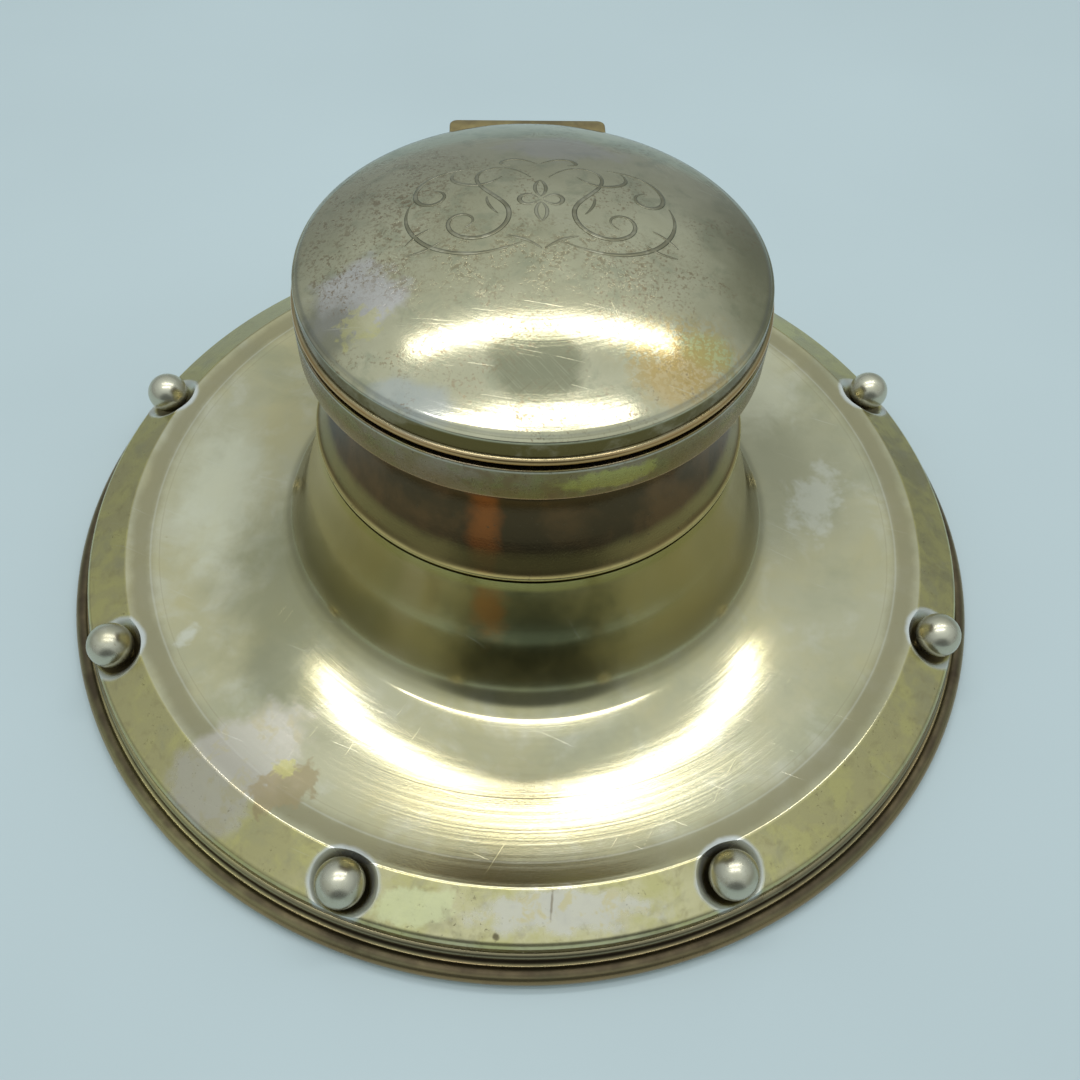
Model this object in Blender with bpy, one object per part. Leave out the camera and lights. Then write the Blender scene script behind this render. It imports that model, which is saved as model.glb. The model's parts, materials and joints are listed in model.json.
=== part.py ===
# Capstan inkwell: a spun silver dish on a beaded foot, a waisted neck, and a domed
# lid on a five-knuckle hinge over a removable glass liner. Metres, +Z up, hinge at +Y.

import math

import bmesh
import bpy
from mathutils import Matrix, Vector

# Sizes of the whole
base_radius = 0.0760
crease_height = 0.0104
seam_radius = 0.0321
seam_height = 0.0336
waist_radius = 0.0277
collar_radius = 0.0324
neck_height = 0.0181

# Walls, clearances and joints
sheet = 0.0009
seat_gap = 0.0003
slide_gap = 0.0004
pin_clearance = 0.00006
overrun = 0.0010
weld = 0.000001

# How finely round forms are divided
ring_steps = 44
hidden_steps = 32
small_steps = 12
ball_steps = 12
ball_rings = 7


# Helpers: profiles are lists of (radius, height), turned round Z

def arc(center, radius, start_deg, end_deg, steps):
    """Points on a circular arc, both ends included."""
    points = []
    for i in range(steps + 1):
        angle = math.radians(start_deg + (end_deg - start_deg) * i / steps)
        points.append((center[0] + radius * math.cos(angle), center[1] + radius * math.sin(angle)))
    return points


def blend(start, start_deg, end, end_deg, steps):
    """Smooth curve between two points with given headings; the first point is left out."""
    pull = math.dist(start, end)
    points = []
    for i in range(1, steps + 1):
        t = i / steps
        weights = (2 * t**3 - 3 * t**2 + 1, t**3 - 2 * t**2 + t, 3 * t**2 - 2 * t**3, t**3 - t**2)
        point = []
        for axis, turn in enumerate((math.cos, math.sin)):
            point.append(weights[0] * start[axis] + weights[1] * pull * turn(math.radians(start_deg))
                         + weights[2] * end[axis] + weights[3] * pull * turn(math.radians(end_deg)))
        points.append(tuple(point))
    return points


def offset(points, distance):
    """The profile moved sideways by a wall's thickness, to the left of its direction."""
    moved = []
    for i, point in enumerate(points):
        before = Vector(point) - Vector(points[i - 1]) if i > 0 else None
        after = Vector(points[i + 1]) - Vector(point) if i < len(points) - 1 else None
        first = (before or after).normalized()
        second = (after or before).normalized()
        bisector = (first + second).normalized()
        normal = Vector((-bisector.y, bisector.x))
        reach = distance / max(normal.dot(Vector((-first.y, first.x))), 0.5)
        moved.append(tuple(Vector(point) + normal * reach))
    return moved


def wall(points, thickness):
    """Closed outline of a sheet that follows the profile, with its thickness on the left."""
    return points + offset(points, thickness)[::-1]


def add_object(name, mesh, material=None, parent=None):
    obj = bpy.data.objects.new(name, mesh)
    bpy.context.scene.collection.objects.link(obj)
    if material:
        mesh.materials.append(material)
    if parent:
        obj.parent = parent
    return obj


def finish_mesh(bm, name):
    bmesh.ops.remove_doubles(bm, verts=bm.verts, dist=weld)
    bmesh.ops.dissolve_degenerate(bm, edges=bm.edges, dist=weld)
    bmesh.ops.recalc_face_normals(bm, faces=bm.faces)
    mesh = bpy.data.meshes.new(name)
    bm.to_mesh(mesh)
    bm.free()
    mesh.shade_smooth()
    mesh.set_sharp_from_angle(angle=math.radians(35))
    return mesh


def turned(name, outline, steps=ring_steps, turn=None):
    """A closed outline turned round Z; an outline that meets the axis becomes a solid disc."""
    bm = bmesh.new()
    verts = [bm.verts.new((radius, 0, height)) for radius, height in outline]
    pairs = list(zip(verts, verts[1:]))
    if outline[0][0] > 0 or outline[-1][0] > 0:
        pairs.append((verts[-1], verts[0]))
    edges = [bm.edges.new(pair) for pair in pairs]
    bmesh.ops.spin(bm, geom=verts + edges, cent=(0, 0, 0), axis=(0, 0, 1),
                   angle=math.tau, steps=steps, use_merge=True)
    if turn:
        bmesh.ops.transform(bm, matrix=turn, verts=bm.verts)
    return finish_mesh(bm, name)


def extruded(name, outline, thickness):
    """A flat plate: an outline in x and y, from z = 0 up to its thickness."""
    bm = bmesh.new()
    face = bm.faces.new([bm.verts.new((x, y, 0)) for x, y in outline])
    grown = bmesh.ops.extrude_face_region(bm, geom=[face])
    top = [item for item in grown["geom"] if isinstance(item, bmesh.types.BMVert)]
    bmesh.ops.translate(bm, verts=top, vec=(0, 0, thickness))
    return finish_mesh(bm, name)


def cutter(name, mesh):
    obj = add_object(name, mesh)
    obj.hide_render = True
    obj.display_type = "WIRE"
    return obj


def boolean(obj, operation, other):
    step = obj.modifiers.new(other.name, "BOOLEAN")
    step.operation = operation
    step.solver = "EXACT"
    step.object = other


def material(name, color, metallic, roughness, transmission=0.0):
    made = bpy.data.materials.new(name)
    made.use_nodes = True
    shader = made.node_tree.nodes["Principled BSDF"]
    shader.inputs["Base Color"].default_value = (*color, 1)
    shader.inputs["Metallic"].default_value = metallic
    shader.inputs["Roughness"].default_value = roughness
    shader.inputs["Transmission Weight"].default_value = transmission
    return made


for old in list(bpy.data.objects):
    bpy.data.objects.remove(old)

dish_metal = material("dish_metal", (0.52, 0.47, 0.32), 1.0, 0.2)
neck_metal = material("neck_metal", (0.40, 0.27, 0.15), 1.0, 0.25)
lid_metal = material("lid_metal", (0.50, 0.46, 0.36), 1.0, 0.22)
foot_metal = material("foot_metal", (0.38, 0.28, 0.14), 1.0, 0.3)
ball_metal = material("ball_metal", (0.68, 0.66, 0.58), 1.0, 0.2)
hinge_metal = material("hinge_metal", (0.50, 0.42, 0.22), 1.0, 0.3)
clear_glass = material("clear_glass", (0.92, 0.97, 0.95), 0.0, 0.03, 1.0)
plaster = material("plaster", (0.78, 0.74, 0.66), 0.0, 0.9)
mahogany = material("mahogany", (0.30, 0.14, 0.07), 0.0, 0.5)
baize = material("baize", (0.05, 0.20, 0.10), 0.0, 1.0)


# Foot: baize, board and the moulded rim
baize_thickness = 0.0008
board_thickness = 0.0027
rim_lift = 0.0002
bead_radius = 0.0013
reed_radius = 0.0007
reed_inset = 0.0026
cove_radius = 0.0004
rim_wall = 0.0020

bead_center = (base_radius - bead_radius, rim_lift + bead_radius)
reed_bulge_radius = base_radius - reed_inset
reed_center = (reed_bulge_radius - reed_radius,
               bead_center[1] + bead_radius + 2 * cove_radius + reed_radius)
rim_inner_radius = reed_center[0] - rim_wall
rim_top = reed_center[1] + reed_radius


def rim_outline():
    """Bead below, a cove over it, and a reed on which the skirt stands."""
    foot = (rim_inner_radius, rim_lift)
    bead = arc(bead_center, bead_radius, -90, 120, 7)
    cove = [(reed_center[0], reed_center[1] - reed_radius - cove_radius)]
    reed = arc(reed_center, reed_radius, -70, 90, 3)
    return [foot] + bead + cove + reed + [(rim_inner_radius, rim_top)]


# Base shell: skirt, band, crease, dish and the trumpet that carries the neck
skirt_inset = 0.0032
shoulder_radius = 0.0013
band_width = 0.0056
band_drop = 0.0027
dish_dip = 0.0006
crease_dip_deg = 9
dish_lip_run = 0.0090
dish_curve_radius = 0.0580
dish_end_deg = 16.5
wall_flare = 0.0025
wall_rise = 0.0108
wall_foot_deg = 69
wall_seam_deg = 78
fillet_run = 0.0059

skirt_radius = base_radius - skirt_inset
skirt_bottom = rim_top + seat_gap
band_edge = (skirt_radius - shoulder_radius, crease_height - band_drop)
crease = (band_edge[0] - band_width, crease_height)
band_slope = math.atan2(band_drop, band_width)
dish_low = (crease[0] - dish_lip_run, crease_height - dish_dip)
wall_foot = (seam_radius + wall_flare, seam_height - wall_rise)


def base_profile():
    """Outer face of the spun sheet, from the bottom of the skirt in and up to the seam."""
    skirt = [(skirt_radius, skirt_bottom), (skirt_radius, band_edge[1] - shoulder_radius)]
    shoulder = arc((band_edge[0], band_edge[1] - shoulder_radius), shoulder_radius,
                   30, 90 - math.degrees(band_slope), 2)
    lip = [crease] + blend(crease, 180 + crease_dip_deg, dish_low, 180, 2)
    end_angle = math.radians(dish_end_deg)
    arc_run = dish_low[0] - (wall_foot[0] + fillet_run)
    end_angle = min(end_angle, math.asin(arc_run / dish_curve_radius))
    curve = arc((dish_low[0], dish_low[1] + dish_curve_radius), dish_curve_radius,
                -90, -90 - math.degrees(end_angle), 3)[1:]
    fillet = blend(curve[-1], 180 - math.degrees(end_angle), wall_foot, 180 - wall_foot_deg, 4)
    trumpet = blend(wall_foot, 180 - wall_foot_deg, (seam_radius, seam_height),
                    180 - wall_seam_deg, 2)
    return skirt + shoulder + lip + curve + fillet + trumpet


def core_profile():
    """A solid a little inside the sheet's outer face, which trims the backs of the recesses."""
    inner = offset(base_profile(), sheet / 2)
    inner[0] = (inner[0][0], inner[0][1] + sheet / 2)
    return [(0, inner[0][1])] + inner + [(0, inner[-1][1])]


# Balls and the round recesses that they sit in
ball_count = 8
ball_radius = 0.00346
ball_inset = 0.0069
ball_rise = 0.0014
recess_radius = 0.0045
shank_radius = 0.0009
rivet_radius = 0.0015
rivet_thickness = 0.0005
shank_hole_radius = shank_radius + seat_gap

ball_ring_radius = base_radius - ball_inset
band_at_ball = crease_height - band_drop * (ball_ring_radius - crease[0]) / band_width
recess_depth = ball_radius - ball_rise + seat_gap
recess_sphere = (recess_radius**2 + recess_depth**2) / (2 * recess_depth)


def ball_frames():
    """One frame for each ball: its origin on the band, its Z square to the band."""
    frames = []
    for i in range(ball_count):
        turn = Matrix.Rotation(math.tau * (i + 0.5) / ball_count, 4, "Z")
        place = Matrix.Translation((0, -ball_ring_radius, band_at_ball))
        frames.append(turn @ place @ Matrix.Rotation(band_slope, 4, "X"))
    return frames


def joined_spheres(name, radius, rise):
    """One sphere at each ball's place, its centre raised off the band."""
    bm = bmesh.new()
    for frame in ball_frames():
        spot = frame @ Matrix.Translation((0, 0, rise))
        bmesh.ops.create_uvsphere(bm, u_segments=ball_steps, v_segments=ball_rings,
                                  radius=radius, matrix=spot)
    return finish_mesh(bm, name)


def joined_pins(name, radius, length):
    """One cylinder through the bottom of each recess."""
    bm = bmesh.new()
    for frame in ball_frames():
        spot = frame @ Matrix.Translation((0, 0, -recess_depth))
        bmesh.ops.create_cone(bm, cap_ends=True, segments=small_steps, radius1=radius,
                              radius2=radius, depth=length, matrix=spot)
    return finish_mesh(bm, name)


def make_base_shell():
    shell = add_object("base_shell", turned("base_shell", wall(base_profile(), sheet)), dish_metal)
    centre_rise = recess_sphere - recess_depth
    backs = cutter("recess_backs", joined_spheres("recess_backs", recess_sphere + sheet, centre_rise))
    core = cutter("dish_core", turned("dish_core", core_profile()))
    boolean(backs, "INTERSECT", core)
    bowls = cutter("recess_bowls", joined_spheres("recess_bowls", recess_sphere, centre_rise))
    holes = cutter("shank_holes", joined_pins("shank_holes", shank_hole_radius, 2 * (sheet + overrun)))
    boolean(shell, "UNION", backs)
    boolean(shell, "DIFFERENCE", bowls)
    boolean(shell, "DIFFERENCE", holes)
    return shell


def ball_outline():
    """Half outline of a ball, its shank, and the tail riveted over inside the shell."""
    neck_deg = math.degrees(math.asin(shank_radius / ball_radius))
    sphere = arc((0, ball_rise), ball_radius, 90, neck_deg - 90, ball_rings)
    sphere[0] = (0, sphere[0][1])
    tail_top = -(recess_depth + sheet + seat_gap)
    tail_bottom = tail_top - rivet_thickness
    return sphere + [(shank_radius, tail_top), (rivet_radius, tail_top),
                     (rivet_radius, tail_bottom), (0, tail_bottom)]


# Neck, from the seam to the underside of the collar
foot_inset = 0.0003
neck_foot_deg = 57
waist_rise = 0.0117
neck_top_inset = 0.0012
neck_top_deg = 50
seam_land = 0.0005

neck_foot = (seam_radius - foot_inset, seam_height + seat_gap)
waist = (waist_radius, neck_foot[1] + waist_rise)
neck_top = (collar_radius - neck_top_inset, neck_foot[1] + neck_height - seat_gap)


def neck_profile():
    foot_land = (neck_foot[0], neck_foot[1] + seam_land)
    top_land = (neck_top[0], neck_top[1] - seam_land)
    lower = blend(foot_land, 180 - neck_foot_deg, waist, 90, 4)
    upper = blend(waist, 90, top_land, neck_top_deg, 3)
    return [neck_foot, foot_land] + lower + upper + [neck_top]


# Collar: drum, ledge and bezel
collar_height = 0.0053
collar_wall = 0.0011
collar_lip = 0.0018
collar_edge_radius = 0.0004
ledge_mouth_radius = 0.0220
ledge_thickness = 0.0009
bezel_rise = 0.0022
bezel_foot_rise = 0.0004

collar_bottom = neck_top[1] + seat_gap
collar_top = collar_bottom + collar_height
collar_inner_radius = collar_radius - collar_wall
ledge_bottom = collar_bottom + sheet + seat_gap
ledge_top = ledge_bottom + ledge_thickness


def collar_outline():
    """Drum with a turned-in flange that rests on the neck, and eased outer edges."""
    flange_mouth = collar_inner_radius - collar_lip
    low_edge = arc((collar_radius - collar_edge_radius, collar_bottom + collar_edge_radius),
                   collar_edge_radius, -90, 0, 1)
    top_edge = arc((collar_radius - collar_edge_radius, collar_top - collar_edge_radius),
                   collar_edge_radius, 0, 90, 1)
    return ([(flange_mouth, collar_bottom)] + low_edge + top_edge
            + [(collar_inner_radius, collar_top), (collar_inner_radius, collar_bottom + sheet),
               (flange_mouth, collar_bottom + sheet)])


# Lid: rolled bead, short band and dome, in one sheet
lid_gap = 0.0008
lid_band_inset = 0.0006
lid_bead_height = 0.0011
lid_band_height = 0.0036
lid_shoulder = 0.0005
dome_rise = 0.0059

lid_bottom = collar_top + lid_gap
lid_radius = collar_radius - lid_band_inset
lid_inner_radius = lid_radius - sheet
dome_edge = (lid_radius - lid_shoulder, lid_bottom + lid_band_height + lid_shoulder)
dome_sphere = (dome_edge[0]**2 + dome_rise**2) / (2 * dome_rise)
bezel_outer_radius = lid_inner_radius - seat_gap - foot_inset
bezel_inner_radius = bezel_outer_radius - sheet


def lid_outline():
    """Closed outline: outside from the rolled bead up to the apex, then back down inside."""
    bead_bulge = collar_radius - lid_radius
    bead = [(lid_inner_radius, lid_bottom), (lid_radius, lid_bottom)]
    bead += arc((lid_radius, lid_bottom + lid_bead_height / 2), bead_bulge, -60, 60, 3)
    shoulder = arc((dome_edge[0], lid_bottom + lid_band_height), lid_shoulder, 0, 90, 2)
    half_angle = math.asin(dome_edge[0] / dome_sphere)
    centre = (0, dome_edge[1] + dome_rise - dome_sphere)
    dome = arc(centre, dome_sphere, 90 - math.degrees(half_angle), 90, 5)[1:]
    inner_half = math.asin((lid_inner_radius - lid_shoulder) / (dome_sphere - sheet))
    inside = arc(centre, dome_sphere - sheet, 90, 90 - math.degrees(inner_half), 4)
    dome[-1] = (0, dome[-1][1])
    inside[0] = (0, inside[0][1])
    inner_corner = [(lid_inner_radius, inside[-1][1] - lid_shoulder)]
    outline = inside + inner_corner + bead + [(lid_radius, lid_bottom + lid_bead_height)]
    return outline + shoulder + dome


def bezel_outline():
    """Stepped ring: its foot fills the collar, its thin wall stands up inside the lid."""
    foot_outer = collar_inner_radius - seat_gap
    bottom = ledge_top + seat_gap
    step = collar_top - bezel_foot_rise
    return [(bezel_inner_radius, bottom), (foot_outer, bottom), (foot_outer, step),
            (bezel_outer_radius, step), (bezel_outer_radius, collar_top + bezel_rise),
            (bezel_inner_radius, collar_top + bezel_rise)]


def ledge_outline():
    outer = collar_inner_radius - seat_gap
    return [(ledge_mouth_radius, ledge_bottom), (outer, ledge_bottom), (outer, ledge_top),
            (ledge_mouth_radius, ledge_top)]


# Glass liner, hung by its flange in the collar
liner_flange_thickness = 0.0030
liner_wall = 0.0030
liner_floor = 0.0040
liner_depth = 0.0310
liner_edge = 0.0008
liner_clearance = 0.0015

liner_radius = min(ledge_mouth_radius, waist_radius - sheet) - liner_clearance
liner_flange_bottom = ledge_top + seat_gap
liner_top = liner_flange_bottom + liner_flange_thickness
liner_bottom = liner_flange_bottom - liner_depth
liner_bore = liner_radius - liner_wall


def liner_outline():
    flange_radius = bezel_inner_radius - slide_gap
    return [(0, liner_bottom), (liner_radius - liner_edge, liner_bottom),
            (liner_radius, liner_bottom + liner_edge), (liner_radius, liner_flange_bottom),
            (flange_radius, liner_flange_bottom), (flange_radius, liner_top - liner_edge),
            (flange_radius - liner_edge, liner_top), (liner_bore + liner_edge, liner_top),
            (liner_bore, liner_top - liner_edge),
            (liner_bore, liner_bottom + liner_floor + liner_edge),
            (liner_bore - liner_edge, liner_bottom + liner_floor), (0, liner_bottom + liner_floor)]


# Loading, board and cloth inside the foot
board_radius = rim_inner_radius - seat_gap
board_bottom = baize_thickness + seat_gap
board_top = board_bottom + board_thickness
fill_bottom = board_top + seat_gap
recess_back_reach = recess_sphere + sheet
fill_clear = 0.0010
fill_radius = ball_ring_radius - recess_back_reach - fill_clear


def fill_outline():
    """Cast plaster that follows the underside of the dish and stops short of the liner."""
    under = [point for point in offset(base_profile(), sheet + seat_gap)
             if wall_foot[0] < point[0] < fill_radius]
    crest = under[-1]
    return ([(0, fill_bottom), (fill_radius, fill_bottom), (fill_radius, under[0][1])]
            + under + [(0, crest[1])])


# Hinge on the back of the collar
hinge_width = 0.0236
knuckle_count = 5
knuckle_gap = 0.0002
knuckle_radius = 0.0015
pin_radius = 0.0006
pin_overhang = 0.0003
axis_setback = 0.0018
axis_rise = 0.0003
leaf_thickness = 0.0009
leaf_overhang = 0.0010
leaf_corner = 0.0012
body_leaf_thickness = 0.0012
body_leaf_overhang = 0.0012

hinge_y = collar_radius + axis_setback
hinge_z = collar_top + axis_rise
knuckle_length = (hinge_width - (knuckle_count - 1) * knuckle_gap) / knuckle_count
knuckle_bore = pin_radius + pin_clearance
along_x = Matrix.Rotation(math.pi / 2, 4, "Y")


def leaf_outline(carrier_radius, overhang):
    """Plan of a leaf: hollow towards the round wall that carries it, round corners outside."""
    half = hinge_width / 2
    back = hinge_y + overhang
    sweep = math.degrees(math.asin(half / carrier_radius))
    front = arc((0, 0), carrier_radius, 90 + sweep, 90 - sweep, 8)
    right = arc((half - leaf_corner, back - leaf_corner), leaf_corner, 0, 90, 3)
    left = arc((leaf_corner - half, back - leaf_corner), leaf_corner, 90, 180, 3)
    return front + right + left


def knuckle_outline():
    half = knuckle_length / 2
    bore = knuckle_bore / math.cos(math.pi / (2 * small_steps))
    return [(bore, -half), (knuckle_radius, -half), (knuckle_radius, half), (bore, half)]


def pin_outline():
    half = hinge_width / 2 + pin_overhang
    return [(0, -half), (pin_radius, -half), (pin_radius, half), (0, half)]


# Build
lid_axis = bpy.data.objects.new("lid_axis", None)
lid_axis.location = (0, hinge_y, hinge_z)
bpy.context.scene.collection.objects.link(lid_axis)


def on_lid(name, mesh, metal):
    """A piece that turns with the lid, its mesh kept in place and its origin on the axis."""
    mesh.transform(Matrix.Translation(-lid_axis.location))
    return add_object(name, mesh, metal, lid_axis)


add_object("baize_pad", turned("baize_pad", [(0, 0), (board_radius, 0),
                                             (board_radius, baize_thickness), (0, baize_thickness)],
                               hidden_steps), baize)
add_object("base_board", turned("base_board", [(0, board_bottom), (board_radius, board_bottom),
                                               (board_radius, board_top), (0, board_top)],
                                 hidden_steps), mahogany)
add_object("loading_fill", turned("loading_fill", fill_outline(), hidden_steps), plaster)
add_object("rim_moulding", turned("rim_moulding", rim_outline()), foot_metal)
make_base_shell()

for number, frame in enumerate(ball_frames(), 1):
    ball = add_object(f"ball_{number}", turned("ball", ball_outline(), ball_steps), ball_metal)
    ball.matrix_world = frame

add_object("neck_shell", turned("neck_shell", wall(neck_profile(), sheet)), neck_metal)
add_object("collar_ring", turned("collar_ring", collar_outline()), lid_metal)
add_object("collar_ledge", turned("collar_ledge", ledge_outline()), lid_metal)
add_object("bezel_ring", turned("bezel_ring", bezel_outline()), lid_metal)
add_object("glass_liner", turned("glass_liner", liner_outline()), clear_glass)

on_lid("lid_shell", turned("lid_shell", lid_outline()), lid_metal)
lid_leaf = extruded("lid_hinge_leaf", leaf_outline(lid_radius + seat_gap, leaf_overhang), leaf_thickness)
lid_leaf.transform(Matrix.Translation((0, 0, hinge_z + knuckle_radius + seat_gap)))
on_lid("lid_hinge_leaf", lid_leaf, hinge_metal)
body_leaf = extruded("body_hinge_leaf", leaf_outline(collar_radius + seat_gap, body_leaf_overhang),
                     body_leaf_thickness)
body_leaf.transform(Matrix.Translation((0, 0, hinge_z - knuckle_radius - seat_gap - body_leaf_thickness)))
add_object("body_hinge_leaf", body_leaf, hinge_metal)

knuckle_names = ("body_knuckle_left", "lid_knuckle_left", "body_knuckle_middle",
                 "lid_knuckle_right", "body_knuckle_right")
for number, name in enumerate(knuckle_names):
    middle = (number - (knuckle_count - 1) / 2) * (knuckle_length + knuckle_gap)
    mesh = turned(name, knuckle_outline(), small_steps, along_x)
    if name.startswith("lid"):
        knuckle = add_object(name, mesh, hinge_metal, lid_axis)
        knuckle.location = (middle, 0, 0)
    else:
        knuckle = add_object(name, mesh, hinge_metal)
        knuckle.location = (middle, hinge_y, hinge_z)

pin = add_object("hinge_pin", turned("hinge_pin", pin_outline(), small_steps, along_x), hinge_metal)
pin.location = (0, hinge_y, hinge_z)
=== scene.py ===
# Capstan inkwell in tarnished silver: its looks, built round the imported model.
# Lengths are in millimetres unless a line says otherwise; the back of the inkwell, with the hinge, is +Y.

import json
import math

import bmesh
import bpy
from mathutils import Matrix, Vector

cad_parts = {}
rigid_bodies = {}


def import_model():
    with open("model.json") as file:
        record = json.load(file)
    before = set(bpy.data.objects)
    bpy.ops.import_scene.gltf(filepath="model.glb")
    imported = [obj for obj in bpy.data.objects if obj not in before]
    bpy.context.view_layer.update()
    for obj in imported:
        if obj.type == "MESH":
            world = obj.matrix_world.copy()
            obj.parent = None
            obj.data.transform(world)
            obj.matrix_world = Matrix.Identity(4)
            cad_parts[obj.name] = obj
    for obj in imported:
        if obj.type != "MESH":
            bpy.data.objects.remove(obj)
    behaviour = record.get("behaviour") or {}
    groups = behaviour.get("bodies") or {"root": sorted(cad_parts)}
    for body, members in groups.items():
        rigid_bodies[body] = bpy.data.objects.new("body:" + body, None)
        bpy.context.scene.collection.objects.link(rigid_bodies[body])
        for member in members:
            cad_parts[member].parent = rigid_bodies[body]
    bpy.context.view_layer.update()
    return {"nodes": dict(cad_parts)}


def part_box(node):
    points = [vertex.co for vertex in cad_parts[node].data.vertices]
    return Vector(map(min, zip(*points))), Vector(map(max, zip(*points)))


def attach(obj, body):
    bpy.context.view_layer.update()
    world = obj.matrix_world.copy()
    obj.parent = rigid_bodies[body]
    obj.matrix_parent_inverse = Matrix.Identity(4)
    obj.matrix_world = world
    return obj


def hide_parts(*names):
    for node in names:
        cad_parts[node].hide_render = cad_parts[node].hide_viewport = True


for old in list(bpy.data.objects):
    bpy.data.objects.remove(old)
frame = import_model()
print("frame loaded:", len(frame["nodes"]), "CAD nodes")

mm = 0.001


def sizeOf(node):  # outer radius, lowest and highest point of a turned CAD node
    low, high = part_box(node)
    return high.x / mm, low.z / mm, high.z / mm


# Outlines: lists of (radius, height)

def arcPoints(center, radius, startDeg, endDeg, steps):
    points = []
    for i in range(steps + 1):
        angle = math.radians(startDeg + (endDeg - startDeg) * i / steps)
        points.append((center[0] + radius * math.cos(angle), center[1] + radius * math.sin(angle)))
    return points


def easePoints(start, startDeg, end, endDeg, steps):  # a smooth run between two headings, without its first point
    pull = math.dist(start, end)
    points = []
    for i in range(1, steps + 1):
        t = i / steps
        weights = (2 * t**3 - 3 * t**2 + 1, t**3 - 2 * t**2 + t, 3 * t**2 - 2 * t**3, t**3 - t**2)
        points.append(tuple(weights[0] * start[axis] + weights[1] * pull * turn(math.radians(startDeg))
                            + weights[2] * end[axis] + weights[3] * pull * turn(math.radians(endDeg))
                            for axis, turn in enumerate((math.cos, math.sin))))
    return points


def roundedOutline(corners, steps=5):  # corners are (radius, height, rounding)
    points = []
    for i, (x, z, rounding) in enumerate(corners):
        here = Vector((x, z))
        before = (Vector(corners[i - 1][:2]) - here).normalized()
        after = (Vector(corners[(i + 1) % len(corners)][:2]) - here).normalized()
        if rounding == 0:
            points.append((x, z))
            continue
        half = before.angle(after) / 2
        reach = rounding / math.tan(half)
        middle = here + (before + after).normalized() * (rounding / math.sin(half))
        first, last = here + before * reach - middle, here + after * reach - middle
        sweep = first.angle_signed(last)
        for k in range(steps + 1):
            spun = Matrix.Rotation(-sweep * k / steps, 2) @ first
            points.append(tuple(middle + spun))
    return points


def shiftedSideways(points, distance):  # to the left of the direction of travel
    moved = []
    for i, point in enumerate(points):
        here = Vector(point)
        first = (here - Vector(points[i - 1])) if i else (Vector(points[1]) - here)
        second = (Vector(points[i + 1]) - here) if i < len(points) - 1 else first
        heading = (first.normalized() + second.normalized()).normalized()
        moved.append((here.x - heading.y * distance, here.y + heading.x * distance))
    return moved


# Meshes

def newObject(name, data):
    obj = bpy.data.objects.new(name, data)
    bpy.context.scene.collection.objects.link(obj)
    return obj


def smoothed(mesh, smoothDeg):
    mesh.shade_smooth()
    mesh.set_sharp_from_angle(angle=math.radians(smoothDeg))


def meshObject(name, verts, faces, smoothDeg=30):
    mesh = bpy.data.meshes.new(name)
    mesh.from_pydata(verts, [], faces)
    bm = bmesh.new()
    bm.from_mesh(mesh)
    if bm.calc_volume(signed=True) < 0:
        bmesh.ops.reverse_faces(bm, faces=bm.faces)
    bm.to_mesh(mesh)
    bm.free()
    smoothed(mesh, smoothDeg)
    return newObject(name, mesh)


def turnedObject(name, outline, steps, smoothDeg=30, place=None):  # a closed outline turned round Z, poles closed
    verts, rings, faces = [], [], []
    for radius, height in outline:
        count = 1 if radius < 1e-6 else steps
        rings.append((len(verts), count))
        for i in range(count):
            turn = math.tau * i / steps
            point = Vector((radius * math.sin(turn), -radius * math.cos(turn), height))
            verts.append((place @ point if place else point) * mm)
    for (low, lowCount), (high, highCount) in zip(rings, rings[1:] + rings[:1]):
        if lowCount == 1 and highCount == 1:
            continue
        for i in range(steps):
            j = (i + 1) % steps
            around = [low + i % lowCount, low + j % lowCount, high + j % highCount, high + i % highCount]
            faces.append(list(dict.fromkeys(around)))
    return meshObject(name, verts, faces, smoothDeg)


def takeModified(obj):  # the evaluated shape as a plain mesh, its modifiers gone
    bpy.context.view_layer.update()
    evaluated = obj.evaluated_get(bpy.context.evaluated_depsgraph_get())
    mesh = bpy.data.meshes.new_from_object(evaluated)
    if obj.type == "MESH":
        obj.modifiers.clear()
        obj.data = mesh
        return obj
    name = obj.name
    bpy.data.objects.remove(obj)
    return newObject(name, mesh)


def settle(obj, body, slotName, finish, *nodes):
    if finish:
        obj.data.materials.clear()
        obj.data.materials.append(finish)
    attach(obj, body)
    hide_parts(*nodes)
    return obj


# Node trees

class Wire:  # an output of a node, which can be used in sums like a number
    def __init__(self, socket):
        self.socket, self.tree = socket, socket.id_data

    def __add__(self, other):
        return maths("ADD", self, other)

    def __sub__(self, other):
        return maths("SUBTRACT", self, other)

    def __rsub__(self, other):
        return maths("SUBTRACT", other, self)

    def __mul__(self, other):
        return maths("MULTIPLY", self, other)

    def __truediv__(self, other):
        return maths("DIVIDE", self, other)

    def __rtruediv__(self, other):
        return maths("DIVIDE", other, self)


def wires(node):
    return {socket.name: Wire(socket) for socket in node.outputs}


def feed(socket, value):
    if isinstance(value, Wire):
        value.tree.links.new(value.socket, socket)
    else:
        socket.default_value = (*value, 1) if socket.type == "RGBA" else value


def addNode(kind, inputs, tree=None, output=0, **settings):  # the tree is that of its inputs, unless it is named
    tree = tree or next(value.tree for value in inputs.values() if isinstance(value, Wire))
    node = tree.nodes.new(kind)
    for key, value in settings.items():
        setattr(node, key, value)
    for key, value in inputs.items():
        feed(node.inputs[key], value)
    return Wire(node.outputs[output])


def maths(operation, *values):
    return addNode("ShaderNodeMath", dict(enumerate(values)), operation=operation)


def vectors(operation, *values, output=0):
    return addNode("ShaderNodeVectorMath", dict(enumerate(values)), output=output, operation=operation)


def joined(x, y, z):
    return addNode("ShaderNodeCombineXYZ", {0: x, 1: y, 2: z})


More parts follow.
